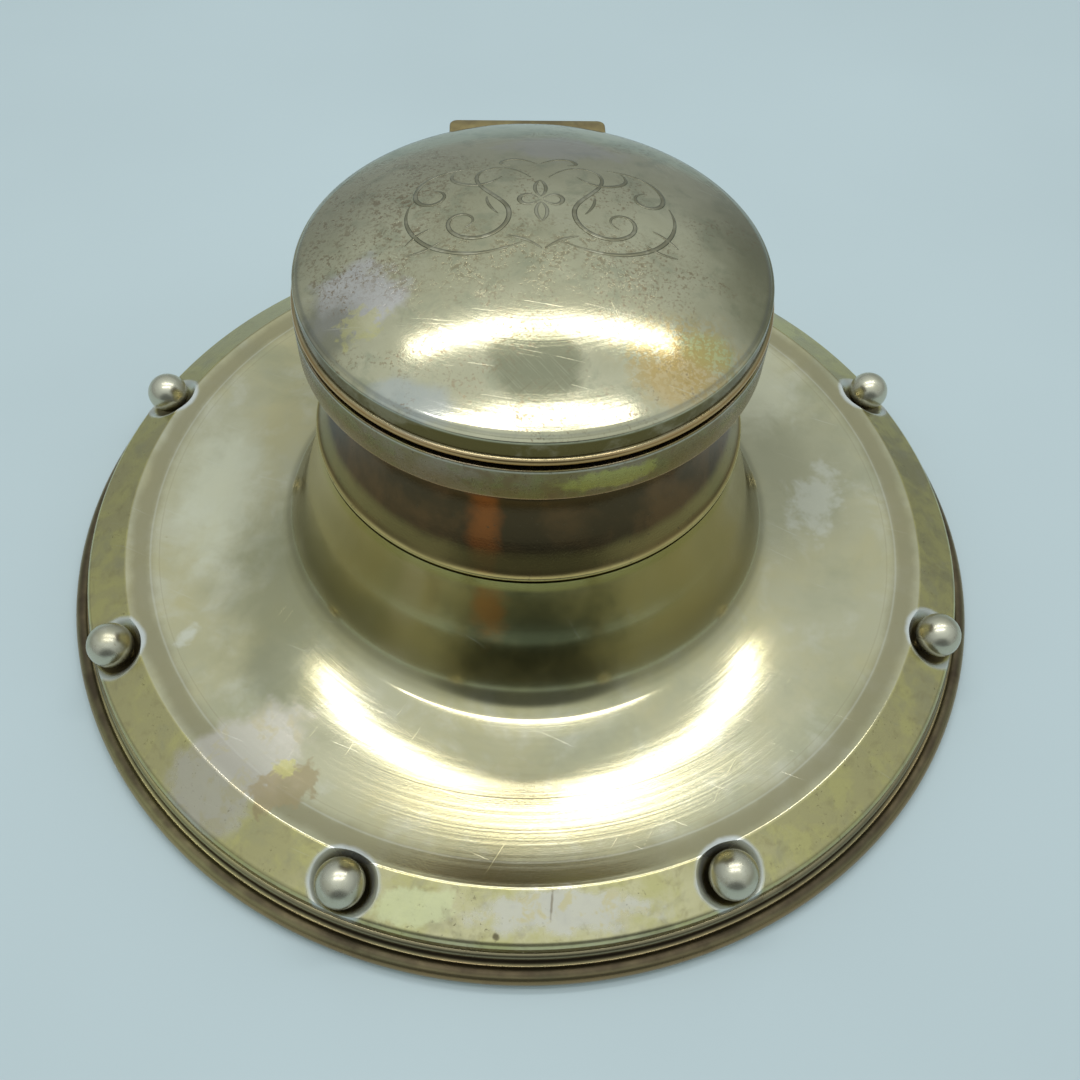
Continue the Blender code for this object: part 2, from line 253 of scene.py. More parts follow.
def apart(vector):
    node = vector.tree.nodes.new("ShaderNodeSeparateXYZ")
    feed(node.inputs[0], vector)
    return [Wire(socket) for socket in node.outputs]


def objectPlace(tree):
    return addNode("ShaderNodeTexCoord", {}, tree, "Object")


def turnedFlat(place, angle):
    return addNode("ShaderNodeVectorRotate", {"Vector": place, "Angle": angle}, rotation_type="Z_AXIS")


def mixColours(factor, a, b, blend="MIX"):
    return addNode("ShaderNodeMix", {0: factor, 6: a, 7: b}, output=2, data_type="RGBA", blend_type=blend)


def spread(value, low, high, toLow=0.0, toHigh=1.0, smooth=True):
    return addNode("ShaderNodeMapRange", {0: value, 1: low, 2: high, 3: toLow, 4: toHigh},
                   interpolation_type="SMOOTHSTEP" if smooth else "LINEAR")


def noise(place, scale, detail=4.0, roughness=0.55, distortion=0.0, seed=0.0):
    return addNode("ShaderNodeTexNoise", {"Vector": place, "W": seed, "Scale": scale, "Detail": detail,
                   "Roughness": roughness, "Distortion": distortion}, noise_dimensions="4D")


def bumps(height, strength, distance):
    return addNode("ShaderNodeBump", {"Strength": strength, "Distance": distance, "Height": height})


def shaderGroup(build, **inputs):  # build takes the group's inputs and gives its named outputs
    group = bpy.data.node_groups.new(build.__name__, "ShaderNodeTree")
    for label, value in inputs.items():
        kind = "NodeSocketFloat" if isinstance(value, float) else "NodeSocketVector"
        socket = group.interface.new_socket(name=label, in_out="INPUT", socket_type=kind)
        socket.default_value = value
    made = build(group, wires(group.nodes.new("NodeGroupInput")))
    for label, wire in made.items():
        kind = "NodeSocketFloat" if wire.socket.type == "VALUE" else "NodeSocketVector"
        group.interface.new_socket(name=label, in_out="OUTPUT", socket_type=kind)
    ends = group.nodes.new("NodeGroupOutput").inputs
    for label, wire in made.items():
        feed(ends[label], wire)
    return group


def useGroup(tree, group, inputs):
    node = tree.nodes.new("ShaderNodeGroup")
    node.node_tree = group
    for key, value in inputs.items():
        feed(node.inputs[key], value)
    return wires(node)


def material(name, build, *given):  # build gives the inputs of the Principled shader
    made = bpy.data.materials.new(name)
    made.use_nodes = True
    tree = made.node_tree
    for key, value in build(tree, *given).items():
        feed(tree.nodes["Principled BSDF"].inputs[key], value)
    return made


def geometryGroup(name, build, **kinds):  # build gives the pieces, which are then made solid and take the finish
    tree = bpy.data.node_groups.new(name, "GeometryNodeTree")
    for label, kind in kinds.items():
        tree.interface.new_socket(name=label, in_out="INPUT", socket_type="NodeSocket" + kind)
    tree.interface.new_socket(name="Geometry", in_out="OUTPUT", socket_type="NodeSocketGeometry")
    given = wires(tree.nodes.new("NodeGroupInput"))
    solid = addNode("GeometryNodeRealizeInstances", {0: build(tree, given)})
    finished = addNode("GeometryNodeSetMaterial", {"Geometry": solid, "Material": given["Finish"]})
    feed(tree.nodes.new("NodeGroupOutput").inputs[0], finished)
    return tree


def runTree(obj, tree, values):  # sets the named inputs by identifier, then keeps the result as a plain mesh
    step = obj.modifiers.new(tree.name, "NODES")
    step.node_group = tree
    for item in tree.interface.items_tree:
        if item.item_type == "SOCKET" and item.in_out == "INPUT" and item.name in values:
            step[item.identifier] = values[item.name]
    return takeModified(obj)


# Masks of old silver and of painted shade, highlights and reflections: groups whose inputs have the names of the
# layers' settings

def turnedCoordinates(tree, given):  # place on a turned piece in millimetres, and distance from the nearest ball's seat
    point = addNode("ShaderNodeVectorMath", {0: objectPlace(tree), 3: 1000.0}, operation="SCALE")
    x, y, z = apart(point)
    radius = maths("SQRT", x * x + y * y)
    sector = math.tau / given["seatCount"]
    near = maths("WRAP", maths("ARCTAN2", x, y * -1.0), sector, 0.0) - sector / 2.0
    aside = radius * maths("SINE", near)
    outward = (radius * maths("COSINE", near) - given["seatRing"]) / maths("COSINE", given["seatSlope"])
    return {"point": point, "Radius": radius, "Height": z, "Seat": maths("SQRT", aside * aside + outward * outward)}


def patinaClouds(tree, given):  # soft uneven films of tarnish, 0 to 1
    cloud = noise(given["point"], 1.0 / given["size"], 5.0, 0.6, 0.4, given["seed"])
    return {"mask": spread(cloud, given["low"], given["high"])}


def stainAndPaintedLightPatch(tree, given):  # one patch with a wandering edge, for stains and for painted shade and reflections, placed by its centre and its half sizes
    local = turnedFlat(vectors("SUBTRACT", given["point"], given["centre"]), maths("RADIANS", given["turn"]))
    length = vectors("LENGTH", vectors("DIVIDE", local, given["half"]), output=1)
    wobble = noise(given["point"], 1.0 / given["wanderSize"], 4.0, 0.6, 0.3, given["seed"])
    pushed = (wobble - 0.5) * (given["wander"] * 3.0) + length
    return {"mask": spread(pushed, given["soft"] + 1.0, 1.0 - given["soft"])}


def pittedSpecks(tree, given):  # fine dark pits
    fine = noise(given["point"], 1.0 / given["size"], 3.0, 0.7, 0.0, given["seed"])
    level = 0.72 - given["amount"] * 0.3
    return {"mask": spread(fine, level, level + 0.07)}


def fineScratches(tree, given):  # hairline rubbing marks, all in one direction
    scale = joined(1.0 / given["length"], 1.0 / given["pitch"], 0.1)
    drawn = vectors("MULTIPLY", turnedFlat(given["point"], maths("RADIANS", given["turn"])), scale)
    level = 0.74 - given["amount"] * 0.2
    return {"mask": spread(noise(drawn, 1.0, 2.0, 0.5, 0.2, given["seed"]), level, level + 0.05)}


def ringMark(tree, given):  # a ring at one radius or height with an uneven edge, for wear and grime and for painted shade, highlights and reflections
    shift = (noise(given["point"], 0.22, 4.0, 0.6, 0.0, given["seed"]) - 0.5) * given["uneven"]
    away = maths("ABSOLUTE", given["across"] + shift - given["at"])
    return {"mask": spread(away, given["half"] + given["soft"], given["half"] - given["soft"])}


def surfaceWaves(tree, given):  # shallow spinning rings, and the slow dents of old sheet metal
    rings = addNode("ShaderNodeTexNoise", {"W": given["radius"] / given["ringPitch"], "Scale": 1.0, "Detail": 3.0},
                    noise_dimensions="1D")
    dents = noise(given["point"], 1.0 / given["dentSize"], 1.0, 0.4)
    grain = noise(given["point"], 3.0, 3.0, 0.6)
    return {"height": rings * given["ringDepth"] + dents * given["dentDepth"] + grain * given["grainDepth"]}


origin = (0, 0, 0)
coordinates = shaderGroup(turnedCoordinates, seatCount=8.0, seatRing=69.1, seatSlope=0.45)
waves = shaderGroup(surfaceWaves, point=origin, radius=0.0, ringPitch=0.8, ringDepth=0.2, dentSize=14.0, dentDepth=1.0,
                    grainDepth=0.1)
maskGroups = {
    "zone": shaderGroup(ringMark, across=0.0, point=origin, at=0.0, half=0.5, soft=0.3, uneven=0.3, seed=0.0),
    "area": shaderGroup(stainAndPaintedLightPatch, point=origin, centre=origin, half=(5, 5, 5), turn=0.0, wander=0.6, wanderSize=6.0,
                        soft=0.3, seed=0.0),
    "cloud": shaderGroup(patinaClouds, point=origin, size=20.0, low=0.45, high=0.65, seed=0.0),
    "specks": shaderGroup(pittedSpecks, point=origin, size=0.6, amount=0.3, seed=0.0),
    "scratches": shaderGroup(fineScratches, point=origin, turn=0.0, length=12.0, pitch=0.35, amount=0.3, seed=0.0)}
print("shader groups built")


def maskOf(kind, at, look):  # marked: where the mesh carries the named mark
    tree = at["point"].tree
    if kind == "marked":
        return addNode("ShaderNodeAttribute", {}, tree, "Fac", attribute_name=look["name"])
    known = [item.name for item in maskGroups[kind].interface.items_tree]
    values = {key: at[value] if isinstance(value, str) else value for key, value in look.items() if key in known}
    return useGroup(tree, maskGroups[kind], {"point": at["point"], **values})["mask"]


def silverLayers(tree, look):  # layers lie one over another, each kept to a zone, area, cloud or mark if it names one
    at = useGroup(tree, coordinates, look.get("seats", {}))
    colour, rough, film = look["tone"], look["roughness"], 0.0
    names = ("point", "radius", "ringPitch", "ringDepth", "dentSize", "dentDepth", "grainDepth")
    values = (at["point"], at["Radius"], *look["rings"], *look["dents"], look["grain"])
    height = useGroup(tree, waves, dict(zip(names, values)))["height"]
    for layer in look["layers"]:
        mask = maskOf(layer["kind"], at, layer) * layer.get("strength", 1.0)
        for keeper in ("zone", "area", "cloud", "marked"):
            if keeper in layer:
                mask = mask * maskOf(keeper, at, layer[keeper])
        colour = mixColours(mask, colour, layer["colour"])
        if "dull" in layer:
            rough = mask * layer["dull"] + rough
        if "film" in layer:
            film = maths("MAXIMUM", mask * layer["film"], film)
        if "depth" in layer:
            height = mask * -layer["depth"] + height
    return {"Base Color": colour, "Roughness": rough, "Metallic": 1.0 - film, "Normal": bumps(height, 0.5, 0.001)}


def tarnishedSilver(name, look):
    return material(name, silverLayers, look)


def layerMaker(kind, *names):  # a short way to write a layer: its first values in this order, the others by name
    def made(*values, **more):
        return {"kind": kind, **dict(zip(names, values)), **more}
    return made


zone = layerMaker("zone", "across", "at", "half", "colour", "strength")
area = layerMaker("area", "centre", "half", "colour", "strength", "seed")
cloud = layerMaker("cloud", "size", "low", "high", "seed", "colour", "strength")
specks = layerMaker("specks", "size", "amount", "seed", "colour", "strength")
scratches = layerMaker("scratches", "turn", "length", "pitch", "amount", "seed", "colour", "strength")
marked = layerMaker("marked", "name", "colour", "strength")
clean, olive, gold = (0.78, 0.76, 0.68), (0.52, 0.48, 0.32), (0.60, 0.49, 0.20)
yellow, brown, copper = (0.60, 0.54, 0.21), (0.22, 0.15, 0.08), (0.46, 0.25, 0.11)
green, umber, khaki = (0.30, 0.31, 0.21), (0.12, 0.09, 0.05), (0.40, 0.365, 0.225)

# Camera, at the photograph's viewing angle

cameraLook = {"place": (-5.9, -117.3, 158.3), "pitchDeg": 53.34, "yawDeg": 4.14, "rollDeg": -2.86, "focalPixels": 1113,
              "imagePixels": 1080, "sensor": 36, "clipMetres": (0.01, 20)}


def makeCamera(look):
    pitch, yaw, roll = (math.radians(look[key]) for key in ("pitchDeg", "yawDeg", "rollDeg"))
    forward = Vector((math.sin(yaw) * math.cos(pitch), math.cos(yaw) * math.cos(pitch), -math.sin(pitch)))
    level = Vector((math.cos(yaw), -math.sin(yaw), 0))
    right = math.cos(roll) * level + math.sin(roll) * forward.cross(level)
    up = right.cross(forward)
    camera = newObject("camera", bpy.data.cameras.new("camera"))
    camera.data.sensor_width = look["sensor"]
    camera.data.lens = look["sensor"] * look["focalPixels"] / look["imagePixels"]
    camera.data.clip_start, camera.data.clip_end = look["clipMetres"]
    place = Vector(look["place"]) * mm
    camera.matrix_world = Matrix(((right.x, up.x, -forward.x, place.x), (right.y, up.y, -forward.y, place.y),
                                  (right.z, up.z, -forward.z, place.z), (0, 0, 0, 1)))
    bpy.context.scene.camera = camera


makeCamera(cameraLook)

# Studio: two overhead strip lamps in a pale room that is darker towards the viewer

stripLamps = [
    {"name": "backStrip", "elevationDeg": 73.5, "aside": 30, "turnDeg": 3.4, "halfLength": 243, "thickness": 31,
     "power": 0.37},
    {"name": "frontStrip", "elevationDeg": 97, "aside": -12, "turnDeg": 3.4, "halfLength": 205, "thickness": 32,
     "power": 0.32}]
lampDistance, lampAim = 456, 38
roomLook = {"colour": (0.87, 0.97, 1.0), "wall": 0.34, "middle": 0.64, "ceiling": 0.94, "wallDeg": 8, "middleDeg": 36,
            "ceilingDeg": 62, "darkDeg": 6, "darkInnerDeg": 24, "darkOuterDeg": 44, "darkLevel": 0.02,
            "background": (0.56, 0.65, 0.67), "backgroundInMetal": 0.2}


def makeLamp(lamp):
    lift = math.radians(lamp["elevationDeg"])
    toward = Vector((0, math.cos(lift), math.sin(lift)))
    data = bpy.data.lights.new(lamp["name"], "AREA")
    data.shape = "RECTANGLE"
    data.size = 2 * lamp["halfLength"] * mm
    data.size_y = lamp["thickness"] * mm
    data.energy = lamp["power"]
    obj = newObject(lamp["name"], data)
    obj.location = (toward * lampDistance + Vector((lamp["aside"], 0, lampAim))) * mm
    facing = Matrix.Rotation(math.radians(lamp["turnDeg"]), 3, "Z") @ (-toward).to_track_quat("-Z", "Y").to_matrix()
    obj.rotation_euler = facing.to_euler()


def makeRoom(look):
    world = bpy.data.worlds.new("room")
    bpy.context.scene.world = world
    world.use_nodes = True
    tree = world.node_tree
    ray = addNode("ShaderNodeTexCoord", {}, tree, "Generated")
    rise = apart(ray)[2]
    wall, middle, ceiling = (math.sin(math.radians(look[key])) for key in ("wallDeg", "middleDeg", "ceilingDeg"))
    level = spread(rise, wall, middle, look["wall"], look["middle"])
    level = level + spread(rise, middle, ceiling, 0.0, look["ceiling"] - look["middle"])
    lift = math.radians(look["darkDeg"])
    toViewer = vectors("DOT_PRODUCT", ray, (0, -math.cos(lift), math.sin(lift)), output=1)
    shadow = spread(toViewer, *(math.cos(math.radians(look[key])) for key in ("darkOuterDeg", "darkInnerDeg")))
    level = addNode("ShaderNodeMix", {0: shadow, 2: level, 3: look["darkLevel"]}, data_type="FLOAT")
    lit = mixColours(1.0, look["colour"], joined(level, level, level), "MULTIPLY")
    rays = wires(tree.nodes.new("ShaderNodeLightPath"))
    seen = maths("MAXIMUM", rays["Is Camera Ray"], rays["Is Transmission Ray"])
    seen = maths("MAXIMUM", seen, rays["Is Glossy Ray"] * look["backgroundInMetal"])
    feed(tree.nodes["Background"].inputs["Color"], mixColours(seen, lit, look["background"]))


for lamp in stripLamps:
    makeLamp(lamp)
makeRoom(roomLook)
bpy.context.scene.view_settings.view_transform = "Standard"

floorLook = {"radius": 1600, "thickness": 2, "colour": (0.55, 0.645, 0.665), "roughness": 0.55, "steps": 96}


def floorFinish(tree, look):
    tint = spread(noise(objectPlace(tree), 9.0, 3.0, 0.5), 0.3, 0.7, 0.97, 1.03, False)
    return {"Base Color": mixColours(1.0, look["colour"], joined(tint, tint, tint), "MULTIPLY"),
            "Roughness": look["roughness"]}


floor = turnedObject("floor", [(0, 0), (0, -floorLook["thickness"]), (floorLook["radius"], -floorLook["thickness"]),
                               (floorLook["radius"], 0)], floorLook["steps"])
floor.data.materials.append(material("paleTable", floorFinish, floorLook))
print("camera, lamps and floor placed")

# Foot: cloth, board, loading and the moulded rim

footLook = {"padEase": 0.3, "boardEase": 0.25, "steps": 192}


def feltFinish(tree):
    fuzz = noise(objectPlace(tree), 2600.0, 3.0, 0.7)
    worn = noise(objectPlace(tree), 60.0, 4.0, 0.6, 0.4, 3.0)
    colour = mixColours(spread(fuzz, 0.3, 0.7), (0.012, 0.075, 0.032), (0.04, 0.16, 0.075))
    colour = mixColours(spread(worn, 0.55, 0.75, 0, 0.5), colour, (0.12, 0.17, 0.09))
    return {"Base Color": colour, "Roughness": 1.0, "Sheen Weight": 0.4, "Normal": bumps(fuzz, 0.6, 0.0003)}


def drawnOut(tree, scale):
    return addNode("ShaderNodeMapping", {"Vector": objectPlace(tree), "Scale": scale})


def mahoganyFinish(tree):
    grain = noise(drawnOut(tree, (18.0, 260.0, 60.0)), 1.0, 6.0, 0.6, 0.6)
    pores = noise(drawnOut(tree, (90.0, 2400.0, 900.0)), 1.0, 2.0, 0.5, 0.0, 5.0)
    colour = mixColours(spread(grain, 0.3, 0.7), (0.10, 0.035, 0.018), (0.26, 0.10, 0.045))
    colour = mixColours(spread(pores, 0.6, 0.7, 0, 0.6), colour, (0.05, 0.018, 0.01))
    return {"Base Color": colour, "Roughness": spread(grain, 0.3, 0.7, 0.42, 0.58), "Normal": bumps(pores, 0.4, 0.0002)}


def plasterFinish(tree):
    chalk = noise(objectPlace(tree), 120.0, 5.0, 0.6)
    holes = addNode("ShaderNodeTexVoronoi", {"Vector": objectPlace(tree), "Scale": 520.0}, output="Distance")
    pocks = spread(holes, 0.16, 0.05)
    colour = mixColours(spread(chalk, 0.35, 0.65), (0.66, 0.60, 0.50), (0.80, 0.76, 0.68))
    colour = mixColours(pocks * 0.6, colour, (0.42, 0.37, 0.30))
    return {"Base Color": colour, "Roughness": 0.9, "Normal": bumps(chalk - pocks, 0.5, 0.0004)}


def ringOutline(inner, outer, low, high, innerEase, outerEase):  # a plain ring's section; a disc when inner is 0
    return roundedOutline([(inner, low, innerEase), (outer, low, outerEase), (outer, high, outerEase),
                           (inner, high, innerEase)])


for name, node, ease, slotName, finish in (
        ("baizePad", "baize_pad", footLook["padEase"], "baize", material("greenBaize", feltFinish)),
        ("baseBoard", "base_board", footLook["boardEase"], "mahogany", material("mahoganyGrain", mahoganyFinish))):
    disc = turnedObject(name, ringOutline(0, *sizeOf(node), 0, ease), footLook["steps"])
    settle(disc, "base", slotName, finish, node)

loading = frame["nodes"]["loading_fill"]
loading.data.materials.clear()
loading.data.materials.append(material("castPlaster", plasterFinish))

rimLayers = [
    cloud(14, 0.42, 0.62, 4, (0.29, 0.215, 0.11), 0.6),
    zone("Height", 4.4, 0.75, (0.26, 0.22, 0.13), soft=0.2),
    cloud(7, 0.55, 0.7, 9, umber, 0.7, dull=0.1),
    area((-54, -50, 3), (20, 17, 9), (0.46, 0.41, 0.19), 0.6, 10, wanderSize=9, soft=0.7),
    zone("Height", 0.55, 0.2, gold, 0.7, soft=0.12),
    zone("Height", 1.9, 0.45, copper, 0.35, soft=0.3, seed=3),
    zone("Height", 3.1, 0.4, (0.06, 0.045, 0.03), soft=0.2, dull=0.25)]
rimLook = {"beadRadius": 1.3, "reedRadius": 0.7, "reedInset": 2.6, "coveDepth": 0.21, "wall": 2.0, "steps": 320,
           "finish": {"tone": (0.22, 0.19, 0.10), "roughness": 0.26, "rings": (0.5, 0.03), "dents": (11, 0.12),
                      "grain": 0.03, "layers": rimLayers}}


def rimOutline(look):
    radius, low, high = sizeOf("rim_moulding")
    bead = (radius - look["beadRadius"], low + look["beadRadius"])
    reed = (radius - look["reedInset"] - look["reedRadius"], high - look["reedRadius"])
    inner = reed[0] - look["wall"]
    beadArc = arcPoints(bead, look["beadRadius"], -90, 125, 28)
    reedArc = arcPoints(reed, look["reedRadius"], -75, 90, 14)
    middle = ((beadArc[-1][0] + reedArc[0][0]) / 2, (beadArc[-1][1] + reedArc[0][1]) / 2)
    deep = (middle[0] - look["coveDepth"], middle[1])
    hollow = easePoints(beadArc[-1], 205, deep, 95, 4) + easePoints(deep, 85, reedArc[0], 10, 4)[:-1]
    return [(inner, low)] + beadArc + hollow + reedArc + [(inner, high)]


rimMoulding = turnedObject("rimMoulding", rimOutline(rimLook), rimLook["steps"])
settle(rimMoulding, "base", "foot_metal", tarnishedSilver("bronzedFoot", rimLook["finish"]), "rim_moulding")
print("foot built")

# Base shell: one spun sheet with a pressed seat for each ball

band = zone("Radius", 69.6, 3.7, soft=0.12, uneven=0.0)
dishFloor = zone("Radius", 52, 13.5, soft=2.0, uneven=2.0)
leftPatch = area((-43, -47, 9), (12.5, 7.5, 9), seed=41, turn=-42, wander=0.42, wanderSize=5.0, soft=0.2)
frontPatch = area((3.0, -68.4, 9), (11.5, 2.6, 6), seed=44, wander=0.6, wanderSize=3.4, soft=0.3)
dishLayers = [
    cloud(30, 0.4, 0.65, 1, gold, 0.35),
    cloud(20, 0.45, 0.7, 2, green, 0.45, dull=0.05),
    cloud(9, 0.5, 0.7, 21, (0.64, 0.61, 0.50), 0.4),
    area((-38, -18, 10), (10, 16, 9), (0.27, 0.255, 0.15), 0.75, 22, turn=-20, wanderSize=9, soft=0.7),
    area((45, 9, 10), (9, 14, 9), (0.33, 0.31, 0.20), 0.6, 25, wanderSize=9, soft=0.8),
    area((-52, 4, 10), (6, 13, 9), (0.72, 0.69, 0.53), 0.6, 26, wander=0.7, wanderSize=6, soft=0.7),
    area((42, 28, 10), (9, 8, 9), (0.70, 0.66, 0.49), 0.6, 27, wander=0.7, wanderSize=6, soft=0.7),
    zone("Radius", 34, 4.5, (0.52, 0.455, 0.20), 0.75, soft=3.5, uneven=2.0, dull=0.1),
    # painted reflection: a dark zone low on the front of the trumpet stands in for the dark things it reflects
    area((0, -35, 27), (12, 6, 12), (0.11, 0.115, 0.06), 0.9, 23, wander=0.5, wanderSize=6, soft=0.75),
    # painted reflection: an orange streak that continues the neck's streak, for the reflection of a front ball
    area((-6.5, -34, 28), (2.0, 4, 5), (0.42, 0.20, 0.06), 0.75, 24, wanderSize=2.5, soft=0.6),
    zone("Height", 33.2, 1.1, (0.46, 0.43, 0.16), 0.7, soft=0.5, uneven=0.5),
    zone("Radius", 63.6, 1.7, (0.30, 0.26, 0.15), 0.75, soft=1.1, uneven=2.2, seed=5),
    # painted highlight: a thin pale ring near the crease stands in for the light caught by a slight spun ridge
    zone("Radius", 62.1, 0.15, clean, 0.2, soft=0.12, uneven=0.15),
    zone("Radius", 60.7, 0.08, brown, 0.15, soft=0.08, uneven=0.15),
    area((-39, -31, 10), (4, 5, 6), (0.27, 0.26, 0.17), 0.6, 8, wander=0.8, soft=0.7),
    area((50, 1, 10), (3.5, 7, 6), (0.70, 0.68, 0.60), 0.4, 12, turn=20, wander=1.2, wanderSize=3.0, soft=0.5,
        dull=0.08),
    area((-53.1, -24.9, 10), (1.1, 2.0, 3), clean, 0.5, 14, turn=30, wander=0.7, wanderSize=2, soft=0.5),
    specks(0.5, 0.25, 17, brown, 0.55, zone=dishFloor, cloud=cloud(12, 0.48, 0.66, 18), dull=0.15),
    zone(**band, colour=(0.50, 0.44, 0.215), dull=0.09),
    # painted reflection: the front of the band is lighter, standing in for the bright things it reflects there
    area((0, -69, 9), (34, 9, 8), (0.76, 0.68, 0.40), 0.75, 36, wander=0.5, wanderSize=9, soft=0.6, zone=band),
    area((70, 6, 9), (9, 30, 8), (0.33, 0.30, 0.16), 0.65, 37, wander=0.4, wanderSize=9, soft=0.6, zone=band),
    cloud(7, 0.44, 0.6, 31, yellow, 0.6, zone=band),
    cloud(5, 0.5, 0.68, 32, khaki, 0.5, zone=band),
    cloud(2.2, 0.5, 0.7, 33, (0.36, 0.30, 0.15), 0.45, zone=band),
    area(**leftPatch, colour=(0.55, 0.50, 0.44), strength=0.65, dull=0.1, film=0.08),
    cloud(3, 0.48, 0.6, 48, (0.50, 0.43, 0.25), 0.55, area=leftPatch),
    area((-35.5, -50.5, 10), (4.5, 3.0, 5), (0.40, 0.31, 0.17), 0.75, 42, turn=-30, wander=0.9, wanderSize=2.2,
        soft=0.2),
    area((-35.7, -47.5, 10), (1.6, 1.3, 3), yellow, 0.7, 43, wander=1.0, wanderSize=1.2, soft=0.3),
    area(**frontPatch, colour=(0.76, 0.71, 0.62), strength=0.75, dull=0.1, film=0.08),
    cloud(2.5, 0.52, 0.6, 49, (0.72, 0.60, 0.28), 0.6, area=frontPatch),
    area((-17, -67.5, 9), (6, 2.4, 6), (0.80, 0.79, 0.45), 0.7, 45, wanderSize=3.0, soft=0.2, zone=band),
    area((1.7, -67.8, 9.5), (0.16, 1.7, 3), brown, 0.6, 46, turn=6, wanderSize=0.8, soft=0.5, depth=0.1),
    area((-5.8, -71.3, 8), (0.5, 0.4, 2), umber, 0.8, 47, wander=0.5, wanderSize=0.8, soft=0.4),
    specks(0.45, 0.4, 34, (0.16, 0.12, 0.06), 0.6, zone=band, cloud=cloud(6, 0.45, 0.6, 35), dull=0.15),
    scratches(25, 16, 0.28, 0.25, 51, clean, 0.22, depth=0.02),
    scratches(-58, 12, 0.25, 0.2, 52, khaki, 0.22, depth=0.02),
    # painted reflection: a pale bluish ring round each seat's lip stands in for the sky it reflects
    zone("Seat", 4.55, 0.6, (0.68, 0.71, 0.72), 0.7, soft=0.4, uneven=1.2, dull=0.14, film=0.22, seed=53),
    # painted shade: dark umber inside each seat, round the ball
    zone("Seat", 1.0, 2.65, umber, 0.8, soft=0.3, uneven=0.2, dull=0.2, seed=54)]
shellLook = {"shoulderRadius": 1.3, "bandWidth": 5.6, "bandDrop": 2.7, "creaseHeight": 10.4, "creaseRound": 0.9,
             "lipDeg": 9.5, "lipRun": 13.2, "dishDip": 0.78, "curveRadius": 52.0, "filletRun": 6.5, "wallFlare": 2.5,
             "wallRise": 10.8, "wallFootDeg": 69, "wallSeamDeg": 78, "seamRadius": 32.1, "sheet": 0.9, "hem": 1.5,
             "nearlyDeg": 1.2, "smoothDeg": 20, "steps": 288,
             "finish": {"tone": olive, "roughness": 0.13, "rings": (0.9, 0.015), "dents": (20, 0.3),
                        "grain": 0.01, "layers": dishLayers}}
seatLook = {"count": 8, "inset": 6.9, "rimRadius": 4.5, "depth": 2.36, "throat": 3.4, "lip": 0.7, "lipDeg": 2,
            "lipHeight": 0.02, "above": 2.0, "flare": 0.3, "segments": 64}
shellRadius, shellLow, shellHigh = sizeOf("base_shell")
baseRadius = sizeOf("rim_moulding")[0]
bandEdge = (shellRadius - shellLook["shoulderRadius"], shellLook["creaseHeight"] - shellLook["bandDrop"])
crease = (bandEdge[0] - shellLook["bandWidth"], shellLook["creaseHeight"])
bandSlope = math.atan2(shellLook["bandDrop"], shellLook["bandWidth"])
ballRing = baseRadius - seatLook["inset"]
bandAtBall = shellLook["creaseHeight"] - shellLook["bandDrop"] * (ballRing - crease[0]) / shellLook["bandWidth"]


def shellOutline(look):
    lipDeg, seamTop, seamRadius = look["lipDeg"], shellHigh, look["seamRadius"]
    wallFoot = (seamRadius + look["wallFlare"], seamTop - look["wallRise"])
    dishLow = (crease[0] - look["lipRun"], look["creaseHeight"] - look["dishDip"])
    shoulder = arcPoints((bandEdge[0], bandEdge[1] - look["shoulderRadius"]), look["shoulderRadius"],
                         0, 90 - math.degrees(bandSlope), 8)
    inward = math.atan2(crease[1] - shoulder[-1][1], crease[0] - shoulder[-1][0])
    outward = math.radians(180 + lipDeg)
    reach = look["creaseRound"] * math.tan((outward - inward) / 2)
    onBand = (crease[0] - math.cos(inward) * reach, crease[1] - math.sin(inward) * reach)
    onLip = (crease[0] + math.cos(outward) * reach, crease[1] + math.sin(outward) * reach)
    middle = (onBand[0] + math.cos(inward + math.pi / 2) * look["creaseRound"],
              onBand[1] + math.sin(inward + math.pi / 2) * look["creaseRound"])
    rounded = arcPoints(middle, look["creaseRound"], math.degrees(inward) - 90, math.degrees(outward) - 90, 6)
    lip = easePoints(onLip, 180 + lipDeg, dishLow, 180, 10)
    run = dishLow[0] - (wallFoot[0] + look["filletRun"])
    sweep = math.degrees(math.asin(run / look["curveRadius"]))
    curve = arcPoints((dishLow[0], dishLow[1] + look["curveRadius"]), look["curveRadius"], -90, -90 - sweep, 18)[1:]
    fillet = easePoints(curve[-1], 180 - sweep, wallFoot, 180 - look["wallFootDeg"], 26)
    trumpet = easePoints(wallFoot, 180 - look["wallFootDeg"], (seamRadius, seamTop), 180 - look["wallSeamDeg"], 14)
    outside = [(shellRadius, shellLow)] + shoulder + rounded + lip + curve + fillet + trumpet
    dish = lip[4:] + curve + fillet + trumpet
    inside = shiftedSideways(dish, look["sheet"])[::-1][::2]
    thick = [(inside[-1][0], shellLow + look["hem"]), (inside[-1][0] + look["hem"], shellLow)]
    return outside + inside + thick



def seatCutterOutline(look):  # bowl below, flaring into a wide rolled lip where it meets the band
    radius = (look["rimRadius"]**2 + look["depth"]**2) / (2 * look["depth"])
    half = math.degrees(math.asin(look["throat"] / radius))
    bowl = arcPoints((0, radius - look["depth"]), radius, -90, -90 + half, 12)
    bowl[0] = (0, bowl[0][1])
    lipEnd = (look["rimRadius"] + look["lip"], look["lipHeight"])
    over = [(lipEnd[0] + look["flare"], look["above"]), (0, look["above"])]
    return bowl + easePoints(bowl[-1], half, lipEnd, look["lipDeg"], 10) + over


